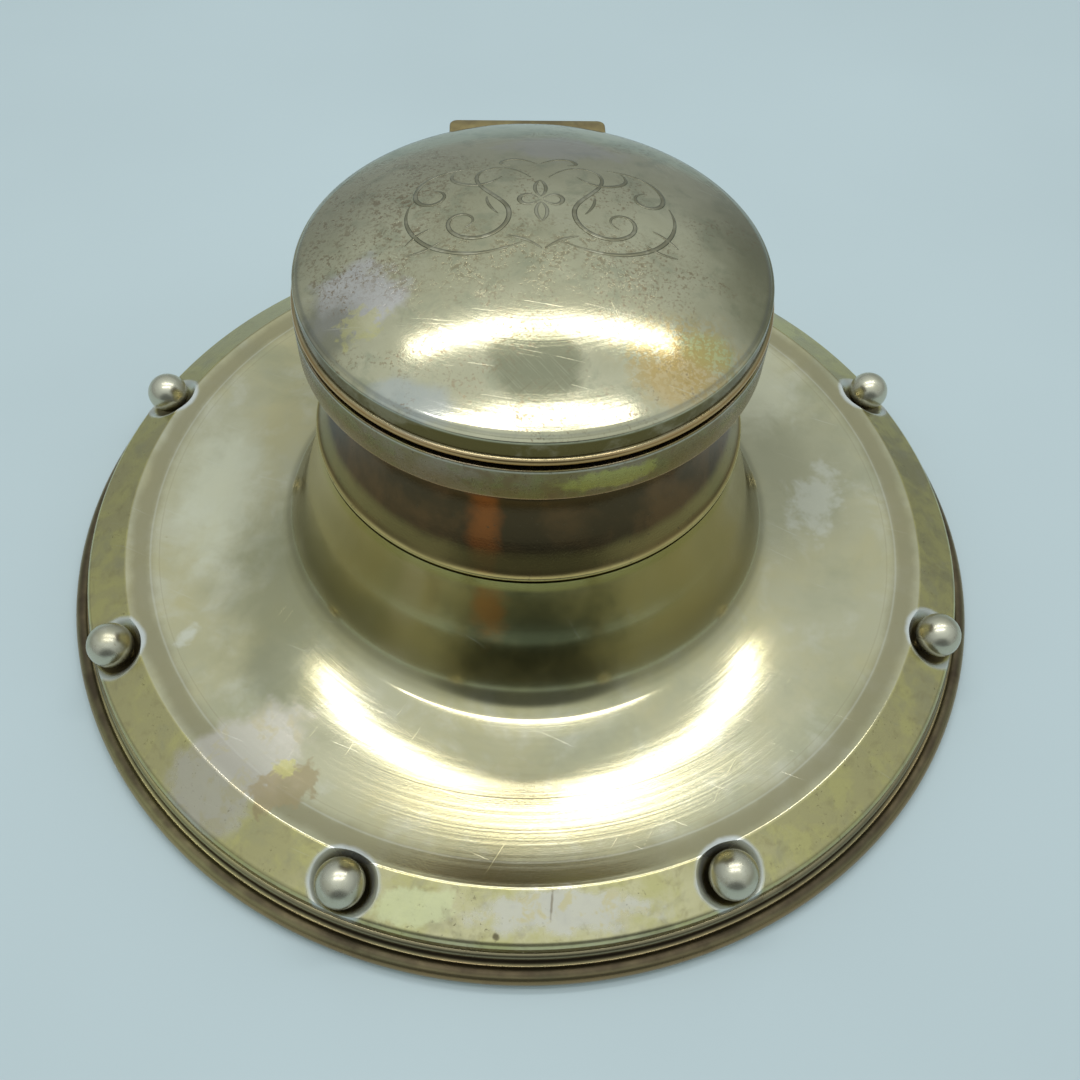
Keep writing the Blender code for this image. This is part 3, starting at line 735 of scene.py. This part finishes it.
def bandNormals(obj):  # true cone normals on the band, which the cuts would otherwise disturb
    mesh = obj.data
    slope = math.atan2(bandEdge[1] - crease[1], bandEdge[0] - crease[0])
    up = Vector((-math.sin(slope), math.cos(slope)))
    chosen = [Vector((0, 0, 0))] * len(mesh.loops)
    for face in mesh.polygons:
        radius = math.hypot(face.center.x, face.center.y)
        if face.normal.z > 0 and crease[0] * mm < radius < shellRadius * mm:
            flat = Vector((face.center.x, face.center.y)).normalized()
            facing = Vector((face.normal.x, face.normal.y)).dot(flat) * up.x + face.normal.z * up.y
            if facing > math.cos(math.radians(shellLook["nearlyDeg"])):
                for loop in face.loop_indices:
                    place = mesh.vertices[mesh.loops[loop].vertex_index].co
                    out = Vector((place.x, place.y)).normalized()
                    chosen[loop] = Vector((out.x * up.x, out.y * up.x, up.y))
    mesh.normals_split_custom_set(chosen)


baseShell = turnedObject("baseShell", shellOutline(shellLook), shellLook["steps"], shellLook["smoothDeg"])
cutters = []
for i in range(seatLook["count"]):
    around = Matrix.Rotation(math.tau * (i + 0.5) / seatLook["count"], 4, "Z")
    place = around @ Matrix.Translation((0, -ballRing, bandAtBall)) @ Matrix.Rotation(bandSlope, 4, "X")
    cutters.append(turnedObject("seatCutter%d" % i, seatCutterOutline(seatLook), seatLook["segments"], 30, place))
with bpy.context.temp_override(active_object=cutters[0], selected_editable_objects=cutters, object=cutters[0]):
    bpy.ops.object.join()
seatCutter = cutters[0]
cut = baseShell.modifiers.new("seats", "BOOLEAN")
cut.operation = "DIFFERENCE"
cut.solver = "EXACT"
cut.object = seatCutter
takeModified(baseShell)
bpy.data.objects.remove(seatCutter)
smoothed(baseShell.data, shellLook["smoothDeg"])
bandNormals(baseShell)
shellLook["finish"]["seats"] = {"seatCount": seatLook["count"], "seatRing": ballRing, "seatSlope": bandSlope}
settle(baseShell, "base", "dish_metal", tarnishedSilver("spunDish", shellLook["finish"]), "base_shell")
print("base shell built:", len(baseShell.data.polygons), "faces")

# Balls: one ball carried round the band by Geometry Nodes

ballLayers = [
    cloud(5, 0.45, 0.65, 3, khaki, 0.5, dull=0.06),
    specks(0.4, 0.3, 61, brown, 0.5)]
ballLook = {"radius": 3.46, "rise": 1.4, "shank": 0.9, "sunk": 0.2, "segments": 56,
            "finish": {"tone": (0.60, 0.565, 0.44), "roughness": 0.27, "rings": (1.0, 0.0), "dents": (4, 0.06),
                       "grain": 0.02, "layers": ballLayers}}


def ballOutline(look):  # a ball on its shank, which ends in the recess
    low = math.degrees(math.asin(look["shank"] / look["radius"]))
    sphere = arcPoints((0, 0), look["radius"], 90, low - 90, 30)
    sphere[0] = (0, sphere[0][1])
    end = -look["rise"] - seatLook["depth"] - look["sunk"]
    return sphere + [(look["shank"], end), (0, end)]


def piecesRoundRing(tree, given):  # copies of the incoming piece round a circle, tilted outward
    spots = addNode("GeometryNodePoints", {"Count": given["Count"]})
    number = addNode("GeometryNodeInputIndex", {}, tree)
    turn = number * (math.tau / given["Count"]) + given["First Turn"]
    x = maths("SINE", turn) * given["Ring Radius"]
    y = maths("COSINE", turn) * (given["Ring Radius"] * -1.0)
    placed = addNode("GeometryNodeSetPosition", {"Geometry": spots, "Position": joined(x, y, given["Ring Height"])})
    return addNode("GeometryNodeInstanceOnPoints", {"Points": placed, "Instance": given["Geometry"],
                                                    "Rotation": joined(given["Tilt"], 0.0, turn)})


ballRise = ballLook["rise"]
ballFinish = tarnishedSilver("brightBall", ballLook["finish"])
balls = turnedObject("rimBalls", ballOutline(ballLook), ballLook["segments"])
ballTree = geometryGroup("ballsRoundRim", piecesRoundRing, Geometry="Geometry", Count="Int", Finish="Material",
                         **dict.fromkeys(("Ring Radius", "Ring Height", "Tilt", "First Turn"), "Float"))
runTree(balls, ballTree, {
    "Count": seatLook["count"], "Ring Radius": (ballRing + ballRise * math.sin(bandSlope)) * mm,
    "Ring Height": (bandAtBall + ballRise * math.cos(bandSlope)) * mm, "Tilt": bandSlope,
    "First Turn": math.pi / seatLook["count"], "Finish": ballFinish})
settle(balls, "base", "ball_metal", ballFinish, *["ball_%d" % (i + 1) for i in range(seatLook["count"])])
print("balls placed:", len(balls.data.polygons), "faces")

# Neck, collar, ledge and bezel

neckLayers = [
    cloud(14, 0.42, 0.62, 7, (0.22, 0.12, 0.05), 0.5),
    # painted reflection: an orange streak on the front of the neck stands in for the reflection of a front ball
    area((-7, -29, 42), (2.0, 5, 9), (0.40, 0.13, 0.035), 0.7, 8, wanderSize=4, soft=0.6),
    zone("Height", 34.2, 0.5, gold, 0.9, soft=0.25),
    zone("Height", 36.0, 1.2, (0.42, 0.34, 0.12), 0.5, soft=0.9, uneven=1.2),
    specks(0.6, 0.35, 64, umber, 0.6, dull=0.15)]
neckLook = {"footRadius": 31.8, "footDeg": 57, "waistRadius": 27.7, "waistHeight": 45.6, "topRadius": 31.2,
            "topDeg": 50, "topLand": 0.5, "sheet": 0.9, "solder": 0.38, "step": 0.05, "foot": 0.3, "steps": 256,
            "finish": {"tone": (0.085, 0.06, 0.03), "roughness": 0.2, "rings": (0.7, 0.03), "dents": (12, 0.25),
                       "grain": 0.03, "layers": neckLayers}}


def neckOutline(look):
    low, high = sizeOf("neck_shell")[1:]
    radius, solder, waist = look["footRadius"], look["solder"], (look["waistRadius"], look["waistHeight"])
    bulge = arcPoints((radius, low + solder), solder, -80, 75, 8)
    lower = easePoints((radius - look["step"], low + 2 * solder), 180 - look["footDeg"], waist, 90, 22)
    upper = easePoints(waist, 90, (look["topRadius"], high - look["topLand"]), look["topDeg"], 16)
    outside = lower + upper + [(look["topRadius"], high)]
    inside = shiftedSideways(outside, look["sheet"])[::-1][::2]
    return bulge + outside + inside + [(radius - look["sheet"], low + look["foot"]), (radius - look["sheet"], low)]


neck = turnedObject("neckShell", neckOutline(neckLook), neckLook["steps"])
settle(neck, "base", "neck_metal", tarnishedSilver("darkNeck", neckLook["finish"]), "neck_shell")

collarLayers = [
    cloud(10, 0.42, 0.62, 11, (0.33, 0.275, 0.22), 0.6),
    cloud(4, 0.48, 0.62, 12, (0.25, 0.245, 0.105), 0.6),
    cloud(2.4, 0.52, 0.66, 15, brown, 0.6, dull=0.08),
    area((9, -31, 54.8), (7.5, 3, 1.7), (0.48, 0.47, 0.13), 0.7, 66, wanderSize=2.4, soft=0.25),
    zone("Height", 52.15, 0.16, (0.62, 0.45, 0.32), 0.8, soft=0.12, uneven=0.1),
    zone("Height", 57.15, 0.14, (0.55, 0.52, 0.42), 0.7, soft=0.1, uneven=0.1),
    specks(0.5, 0.4, 67, umber, 0.6, dull=0.15)]
collarLook = {"edge": 0.25, "rise": 0.15, "wall": 1.1, "lip": 1.8, "sheet": 0.9, "steps": 256,
              "finish": {"tone": (0.24, 0.19, 0.085), "roughness": 0.27, "rings": (0.5, 0.03), "dents": (9, 0.15),
                         "grain": 0.03, "layers": collarLayers}}
collarRadius, collarLow, collarHigh = sizeOf("collar_ring")
collarTop, collarSheet = collarHigh + collarLook["rise"], collarLow + collarLook["sheet"]
collarInner = collarRadius - collarLook["wall"]
mouth = collarInner - collarLook["lip"]
collarFinish = tarnishedSilver("collarBand", collarLook["finish"])
collar = turnedObject("collarRing", roundedOutline([
    (mouth, collarLow, 0.2), (collarRadius, collarLow, collarLook["edge"]),
    (collarRadius, collarTop, collarLook["edge"]), (collarInner, collarTop, 0.25), (collarInner, collarSheet, 0.1),
    (mouth, collarSheet, 0.2)]), collarLook["steps"])
settle(collar, "base", "lid_metal", collarFinish, "collar_ring")

ledgeLook = {"mouth": 22.0, "mouthEase": 0.3, "ease": 0.15, "steps": 160}
ledge = turnedObject("collarLedge", ringOutline(ledgeLook["mouth"], *sizeOf("collar_ledge"), ledgeLook["mouthEase"],
                                                ledgeLook["ease"]), ledgeLook["steps"])
settle(ledge, "base", "lid_metal", collarFinish, "collar_ledge")

bezelLook = {"wallOut": 30.3, "wallIn": 29.4, "stepHeight": 56.9, "steps": 192}
bezelRadius, bezelLow, bezelHigh = sizeOf("bezel_ring")
bezelStep, bezelOut, bezelIn = bezelLook["stepHeight"], bezelLook["wallOut"], bezelLook["wallIn"]
bezel = turnedObject("bezelRing", roundedOutline([
    (bezelIn, bezelLow, 0.15), (bezelRadius, bezelLow, 0.15), (bezelRadius, bezelStep, 0.2),
    (bezelOut, bezelStep, 0.15), (bezelOut, bezelHigh, 0.35), (bezelIn, bezelHigh, 0.35)]), bezelLook["steps"])
settle(bezel, "base", "lid_metal", collarFinish, "bezel_ring")
print("neck and collar built")

# Glass liner

glassLook = {"boreRadius": 17.5, "wellRadius": 20.5, "floor": 4.0, "flange": 3.0, "steps": 160}
glassRadius, glassLow, glassHigh = sizeOf("glass_liner")
bore, well = glassLook["boreRadius"], glassLook["wellRadius"]
underFlange, wellFloor = glassHigh - glassLook["flange"], glassLow + glassLook["floor"]


def glassFinish(tree):
    dust = noise(objectPlace(tree), 160.0, 5.0, 0.6)
    ripple = noise(objectPlace(tree), 90.0, 2.0, 0.5, 0.0, 2.0)
    return {"Base Color": (0.93, 0.98, 0.95), "Transmission Weight": 1.0, "IOR": 1.5,
            "Roughness": spread(dust, 0.45, 0.7, 0.02, 0.12), "Normal": bumps(ripple, 0.25, 0.0003)}


liner = turnedObject("glassLiner", roundedOutline([
    (0, glassLow, 0), (well, glassLow, 1.4), (well, underFlange, 0.5), (glassRadius, underFlange, 0.6),
    (glassRadius, glassHigh, 0.9), (bore, glassHigh, 0.9), (bore, wellFloor, 2.2), (0, wellFloor, 0)], 7),
    glassLook["steps"])
settle(liner, "liner", "clear_glass", material("oldClearGlass", glassFinish), "glass_liner")

# Lid: rolled bead, short band and shallow dome

inside = marked("inside")
dome = zone("Height", 66, 3.7, soft=0.2, uneven=0.0)
# painted reflection: a dark round spot on the dome between the two lamp highlights stands in for the reflection of
# something dark; real fine scratches show across it
darkReflectionSpot = area((-0.4, -22.2, 65), (5.4, 5.6, 6), seed=71, wander=0.22, wanderSize=2.5, soft=0.2)
lidLayers = [
    cloud(24, 0.42, 0.62, 5, khaki, 0.5),
    cloud(10, 0.48, 0.68, 6, (0.62, 0.58, 0.40), 0.4),
    cloud(4, 0.48, 0.66, 16, green, 0.5, dull=0.05),
    # painted reflection: the darker right and left sides of the dome stand in for the dark low surroundings they
    # reflect
    area((30, -3, 64), (7, 17, 9), (0.19, 0.18, 0.10), 0.8, 72, wander=0.5, wanderSize=9, soft=0.8),
    area((-30, 4, 64), (6, 15, 9), (0.34, 0.32, 0.21), 0.3, 73, wander=0.5, wanderSize=9, soft=0.8),
    area((-22.5, -10.5, 64), (6.5, 5.5, 9), (0.60, 0.56, 0.575), 0.65, 74, wanderSize=5, soft=0.25, dull=0.1,
        film=0.07),
    area((-27, -15, 63), (4.5, 5, 8), (0.20, 0.19, 0.14), 0.7, 95, turn=25, wander=0.5, wanderSize=4, soft=0.5),
    area((4, 18.5, 66), (7.5, 3.6, 9), (0.53, 0.49, 0.50), 0.45, 75, wander=0.7, wanderSize=5, soft=0.4, dull=0.08),
    area((-15, -26, 63), (5, 2.4, 6), (0.44, 0.47, 0.50), 0.5, 76, turn=30, wander=0.5, wanderSize=4, soft=0.4),
    area((16.5, -22.6, 63), (5.0, 3.4, 7), (0.64, 0.45, 0.20), 0.65, 77, turn=-25, wanderSize=4, soft=0.4),
    area((20.5, -18.6, 63), (3.2, 2.4, 7), (0.55, 0.58, 0.22), 0.5, 78, wanderSize=3, soft=0.4),
    # painted reflection: the dark spot's colour, with real crosshatch scratches laid over it
    area(**darkReflectionSpot, colour=(0.24, 0.235, 0.15), strength=0.8),
    scratches(48, 5, 0.17, 0.8, 81, (0.42, 0.40, 0.28), 0.4, area=darkReflectionSpot),
    scratches(-40, 5, 0.17, 0.8, 82, (0.22, 0.20, 0.12), 0.4, area=darkReflectionSpot),
    area((-21.5, -14.5, 63), (2.6, 2.2, 6), yellow, 0.5, 79, wander=1.2, wanderSize=1.3, soft=0.3),
    specks(0.6, 0.72, 83, brown, 0.65, dull=0.15, area=area((-20, 5, 65), (11, 14, 9), wander=0.8, wanderSize=7,
        soft=0.5, seed=84), cloud=cloud(5, 0.38, 0.55, 85), depth=0.04),
    specks(0.55, 0.72, 86, (0.26, 0.20, 0.11), 0.6, dull=0.12, area=area((-2, -6, 66), (19, 6, 9), wander=0.9,
        wanderSize=8, soft=0.6, seed=87), cloud=cloud(4, 0.4, 0.56, 88), depth=0.03),
    specks(0.5, 0.6, 89, brown, 0.65, dull=0.12, cloud=cloud(9, 0.46, 0.62, 90)),
    specks(0.7, 0.9, 98, (0.50, 0.34, 0.10), 0.6, area=area((17, -20, 63), (7, 5, 8), wanderSize=4, soft=0.6,
        seed=99)),
    scratches(12, 14, 0.26, 0.3, 91, (0.66, 0.63, 0.50), 0.25, depth=0.02),
    scratches(70, 11, 0.24, 0.25, 92, khaki, 0.3, depth=0.02),
    zone("Radius", 31.3, 0.3, (0.20, 0.20, 0.18), 0.7, soft=0.15, uneven=0.1, zone=dome),
    zone("Height", 60.35, 1.2, (0.15, 0.115, 0.04), soft=0.2, uneven=0.1, dull=0.1),
    cloud(4, 0.48, 0.64, 93, (0.30, 0.25, 0.15), 0.7, zone=zone("Height", 60.2, 1.4, soft=0.2, uneven=0.1)),
    zone("Height", 58.6, 0.5, (0.50, 0.30, 0.11), 0.85, soft=0.15, uneven=0.1),
    marked("inside", (0.56, 0.52, 0.38), dull=0.06),
    cloud(11, 0.45, 0.65, 94, (0.36, 0.31, 0.17), 0.6, marked=inside),
    specks(0.7, 0.6, 96, umber, 0.7, dull=0.15, marked=inside, cloud=cloud(8, 0.46, 0.62, 97))]
lidLook = {"beadBulge": 0.55, "beadHeight": 1.1, "bandTop": 61.7, "shoulder": 0.5, "wall": 0.9, "inset": 0.6,
           "underInset": 0.8, "underDrop": 0.9, "seam": 0.1, "domeLift": 1.1, "domeSteps": 40, "steps": 288,
           "finish": {"tone": (0.54, 0.50, 0.345), "roughness": 0.13, "rings": (0.8, 0.012), "dents": (17, 0.22),
                      "grain": 0.012, "layers": lidLayers}}
lidLow, lidHigh = sizeOf("lid_shell")[1:]
lidTop = lidHigh + lidLook["domeLift"]
lidRadius = collarRadius - lidLook["inset"]
domeEdge = (lidRadius - lidLook["shoulder"], lidLook["bandTop"] + lidLook["shoulder"])
domeRise = lidTop - domeEdge[1]
domeSphere = (domeEdge[0]**2 + domeRise**2) / (2 * domeRise)
domeCentre = lidTop - domeSphere


def lidOutline(look):
    inner = lidRadius - look["wall"]
    bead = arcPoints((lidRadius, lidLow + look["beadHeight"] / 2), look["beadBulge"], -80, 80, 12)
    half = math.degrees(math.asin(domeEdge[0] / domeSphere))
    shoulder = easePoints((lidRadius, look["bandTop"]), 90, domeEdge, 90 + half, 6)
    dome = arcPoints((0, domeCentre), domeSphere, 90 - half, 90, look["domeSteps"])[1:]
    dome[-1] = (0, lidTop)
    innerHalf = math.degrees(math.asin((inner - look["underInset"]) / (domeSphere - look["wall"])))
    under = arcPoints((0, domeCentre), domeSphere - look["wall"], 90, 90 - innerHalf, 20)
    under[0] = (0, under[0][1])
    corner = easePoints(under[-1], -innerHalf, (inner, under[-1][1] - look["underDrop"]), -90, 6)
    edge = [(inner, lidLow + look["seam"]), (inner + look["seam"], lidLow)]
    band = [(lidRadius, lidLow + look["beadHeight"] + look["seam"]), (lidRadius, look["bandTop"])]
    return under + corner + edge + bead + band + shoulder + dome


lid = turnedObject("lidShell", lidOutline(lidLook), lidLook["steps"])
insideMark = lid.data.attributes.new(inside["name"], "FLOAT", "POINT")
for vertex, mark in zip(lid.data.vertices, insideMark.data):
    place = vertex.co / mm
    innerSide = math.dist(place, (0, 0, domeCentre)) < domeSphere - lidLook["wall"] / 2
    mark.value = float(innerSide and math.hypot(place.x, place.y) < lidRadius - lidLook["wall"] / 2)
settle(lid, "lid", "lid_metal", tarnishedSilver("domedLid", lidLook["finish"]), "lid_shell")

# Engraved scrollwork in the middle of the lid

scrollStrokes = [
    [(1.2, 5.6), (3.4, 8.6), (7.4, 8.8), (9.0, 5.4), (6.6, 1.8), (3.8, -1.2), (4.4, -5.4), (8.2, -7.8), (12.0, -6.0),
    (12.2, -2.6), (9.4, -1.8), (8.2, -4.0), (9.8, -5.0)],
    [(9.2, 8.6), (13.4, 8.6), (17.0, 5.0), (16.2, 0.6), (12.8, 0.2), (12.0, 3.0), (14.0, 3.9)],
    [(2.6, -8.2), (7.0, -10.4), (12.6, -9.6), (16.6, -6.0), (18.0, -1.6), (17.0, 1.2)],
    [(0.3, 0.5), (1.5, 1.8), (2.9, 1.0), (2.9, -0.4), (1.5, -1.2), (0.3, 0.1)],
    [(0.0, 0.9), (1.1, 2.2), (0.8, 3.9), (0.0, 4.9)], [(0.0, -0.3), (1.1, -1.6), (0.8, -3.3), (0.0, -4.3)],
    [(0.3, 9.4), (2.4, 11.2), (5.2, 10.8), (5.4, 9.2), (3.9, 9.1)],
    [(5.0, 6.0), (6.8, 3.8), (10.4, 4.0), (12.4, 6.4), (11.0, 8.2)],
    [(13.0, -7.2), (14.6, -8.8), (17.2, -8.8)], [(14.2, -4.4), (16.0, -5.2), (17.4, -7.0)],
    [(0.2, -9.4), (2.2, -7.4), (4.6, -7.0)], [(5.6, -2.6), (7.2, -0.6), (7.0, 1.2)]]
scrollLayers = [cloud(3, 0.45, 0.62, 97, (0.50, 0.47, 0.35), 0.6)]
flourishLook = {"centre": (0.8, 3.6), "width": 0.34, "flat": 0.14, "strokes": scrollStrokes,
                "finish": {"tone": (0.25, 0.23, 0.15), "roughness": 0.34, "rings": (1.0, 0.0), "dents": (5, 0.05),
                           "grain": 0.05, "layers": scrollLayers}}


def strokeCurves(look):  # each stroke is drawn on the right and mirrored to the left, thick in its middle
    curve = bpy.data.curves.new("strokes", "CURVE")
    curve.dimensions = "3D"
    curve.resolution_u = 8
    for stroke in look["strokes"]:
        for side in (1, -1):
            spline = curve.splines.new("NURBS")
            spline.points.add(len(stroke) - 1)
            spline.order_u = min(4, len(stroke))
            spline.use_endpoint_u = True
            for i, (x, y) in enumerate(stroke):
                swell = 0.25 + 0.75 * math.sin(math.pi * i / (len(stroke) - 1))
                spline.points[i].co = ((side * x + look["centre"][0]) * mm, (y + look["centre"][1]) * mm, 0, 1)
                spline.points[i].radius = look["width"] * swell * mm
    return newObject("lidScrollwork", curve)


def linesOnDome(tree, given):  # sweeps a fine section along each curve and lays it on the dome
    section = addNode("GeometryNodeCurvePrimitiveCircle", {"Resolution": 6, "Radius": 1.0}, tree)
    width = addNode("GeometryNodeInputNamedAttribute", {"Name": "radius"}, tree, data_type="FLOAT")
    tube = addNode("GeometryNodeCurveToMesh", {"Curve": given["Geometry"], "Profile Curve": section, "Scale": width,
                                               "Fill Caps": True})
    x, y, z = apart(addNode("GeometryNodeInputPosition", {}, tree))
    sphere = given["Sphere Radius"]
    height = maths("SQRT", sphere * sphere - (x * x + y * y)) + given["Sphere Height"]
    laid = joined(x, y, z * given["Flatness"] + height)
    return addNode("GeometryNodeSetPosition", {"Geometry": tube, "Position": laid})


cutFinish = tarnishedSilver("cutLines", flourishLook["finish"])
scrollTree = geometryGroup("scrollsOnDome", linesOnDome, Geometry="Geometry", Finish="Material",
                           **dict.fromkeys(("Sphere Radius", "Sphere Height", "Flatness"), "Float"))
scrollwork = runTree(strokeCurves(flourishLook), scrollTree, {
    "Sphere Radius": domeSphere * mm, "Sphere Height": domeCentre * mm, "Flatness": flourishLook["flat"],
    "Finish": cutFinish})
scrollwork.data.shade_smooth()
settle(scrollwork, "lid", "lid_metal", cutFinish)
print("lid built:", len(lid.data.polygons), "faces, scrollwork:", len(scrollwork.data.polygons))

# Hinge: leaves, knuckles and pin

hingeLayers = [
    cloud(6, 0.42, 0.64, 13, umber, 0.5, dull=0.12),
    cloud(3, 0.5, 0.66, 14, gold, 0.4)]
hingeLook = {"width": 23.6, "knuckles": 5, "gap": 0.2, "radius": 1.5, "bore": 0.7, "pin": 0.6, "pinSteps": 32,
             "overhang": 0.3, "corner": 1.2, "leafGap": 0.3, "leafEase": 0.18, "segments": 40,
             "finish": {"tone": (0.40, 0.30, 0.13), "roughness": 0.28, "rings": (1.0, 0.0), "dents": (6, 0.12),
                        "grain": 0.05, "layers": hingeLayers}}
hingeFinish = tarnishedSilver("hingeBrown", hingeLook["finish"])
pinLow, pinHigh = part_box("hinge_pin")
hingeY, hingeZ = (pinLow.y + pinHigh.y) / 2 / mm, (pinLow.z + pinHigh.z) / 2 / mm


def leafObject(name, node, carrier, look):  # a plate hollowed to the round it is soldered on
    low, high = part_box(node)
    half, back, corner = look["width"] / 2, high.y / mm, look["corner"]
    sweep = math.degrees(math.asin(half / carrier))
    plan = arcPoints((0, 0), carrier, 90 + sweep, 90 - sweep, 24)
    for side in (1, -1):
        plan += arcPoints((side * (half - corner), back - corner), corner, 45 - 45 * side, 135 - 45 * side, 6)
    count = len(plan)
    verts = [Vector((x, y, z)) * mm for z in (low.z / mm, high.z / mm) for x, y in plan]
    faces = [list(range(count))[::-1], list(range(count, 2 * count))]
    faces += [[i, (i + 1) % count, count + (i + 1) % count, count + i] for i in range(count)]
    leaf = meshObject(name, verts, faces)
    ease = leaf.modifiers.new("ease", "BEVEL")
    ease.width = look["leafEase"] * mm
    ease.segments = 3
    ease.limit_method = "ANGLE"
    ease.angle_limit = math.radians(50)
    takeModified(leaf)
    smoothed(leaf.data, 35)
    return leaf


def piecesInRow(tree, given):  # copies of the incoming piece in a straight row along X
    step = joined(given["Pitch"], 0.0, 0.0)
    spots = addNode("GeometryNodeMeshLine", {"Count": given["Count"], "Start Location": given["Start"], "Offset": step})
    return addNode("GeometryNodeInstanceOnPoints", {"Points": spots, "Instance": given["Geometry"]})


alongX = Matrix.Rotation(math.pi / 2, 4, "Y")
knucklePitch = (hingeLook["width"] + hingeLook["gap"]) / hingeLook["knuckles"]
knuckleHalf = (knucklePitch - hingeLook["gap"]) / 2
rowTree = geometryGroup("knucklesOnPin", piecesInRow, Geometry="Geometry", Count="Int", Pitch="Float", Start="Vector",
                        Finish="Material")
for name, body, count, offset, nodes in (
        ("bodyKnuckles", "base", 3, -2, ("body_knuckle_left", "body_knuckle_middle", "body_knuckle_right")),
        ("lidKnuckles", "lid", 2, -1, ("lid_knuckle_left", "lid_knuckle_right"))):
    section = ringOutline(hingeLook["bore"], hingeLook["radius"], -knuckleHalf, knuckleHalf, 0.05, 0.15)
    row = turnedObject(name, section, hingeLook["segments"], place=alongX)
    runTree(row, rowTree, {"Count": count, "Pitch": 2 * knucklePitch * mm, "Finish": hingeFinish,
                           "Start": (offset * knucklePitch * mm, hingeY * mm, hingeZ * mm)})
    settle(row, body, "hinge_metal", hingeFinish, *nodes)

pinHalf = hingeLook["width"] / 2 + hingeLook["overhang"]
pin = turnedObject("hingePin", ringOutline(0, hingeLook["pin"], -pinHalf, pinHalf, 0, 0.2), hingeLook["pinSteps"],
                   place=Matrix.Translation((0, hingeY, hingeZ)) @ alongX)
settle(pin, "base", "hinge_metal", hingeFinish, "hinge_pin")
lidLeaf = leafObject("lidLeaf", "lid_hinge_leaf", lidRadius + hingeLook["leafGap"], hingeLook)
settle(lidLeaf, "lid", "hinge_metal", hingeFinish, "lid_hinge_leaf")
bodyLeaf = leafObject("bodyLeaf", "body_hinge_leaf", collarRadius + hingeLook["leafGap"], hingeLook)
settle(bodyLeaf, "base", "hinge_metal", hingeFinish, "body_hinge_leaf")
print("hinge built")
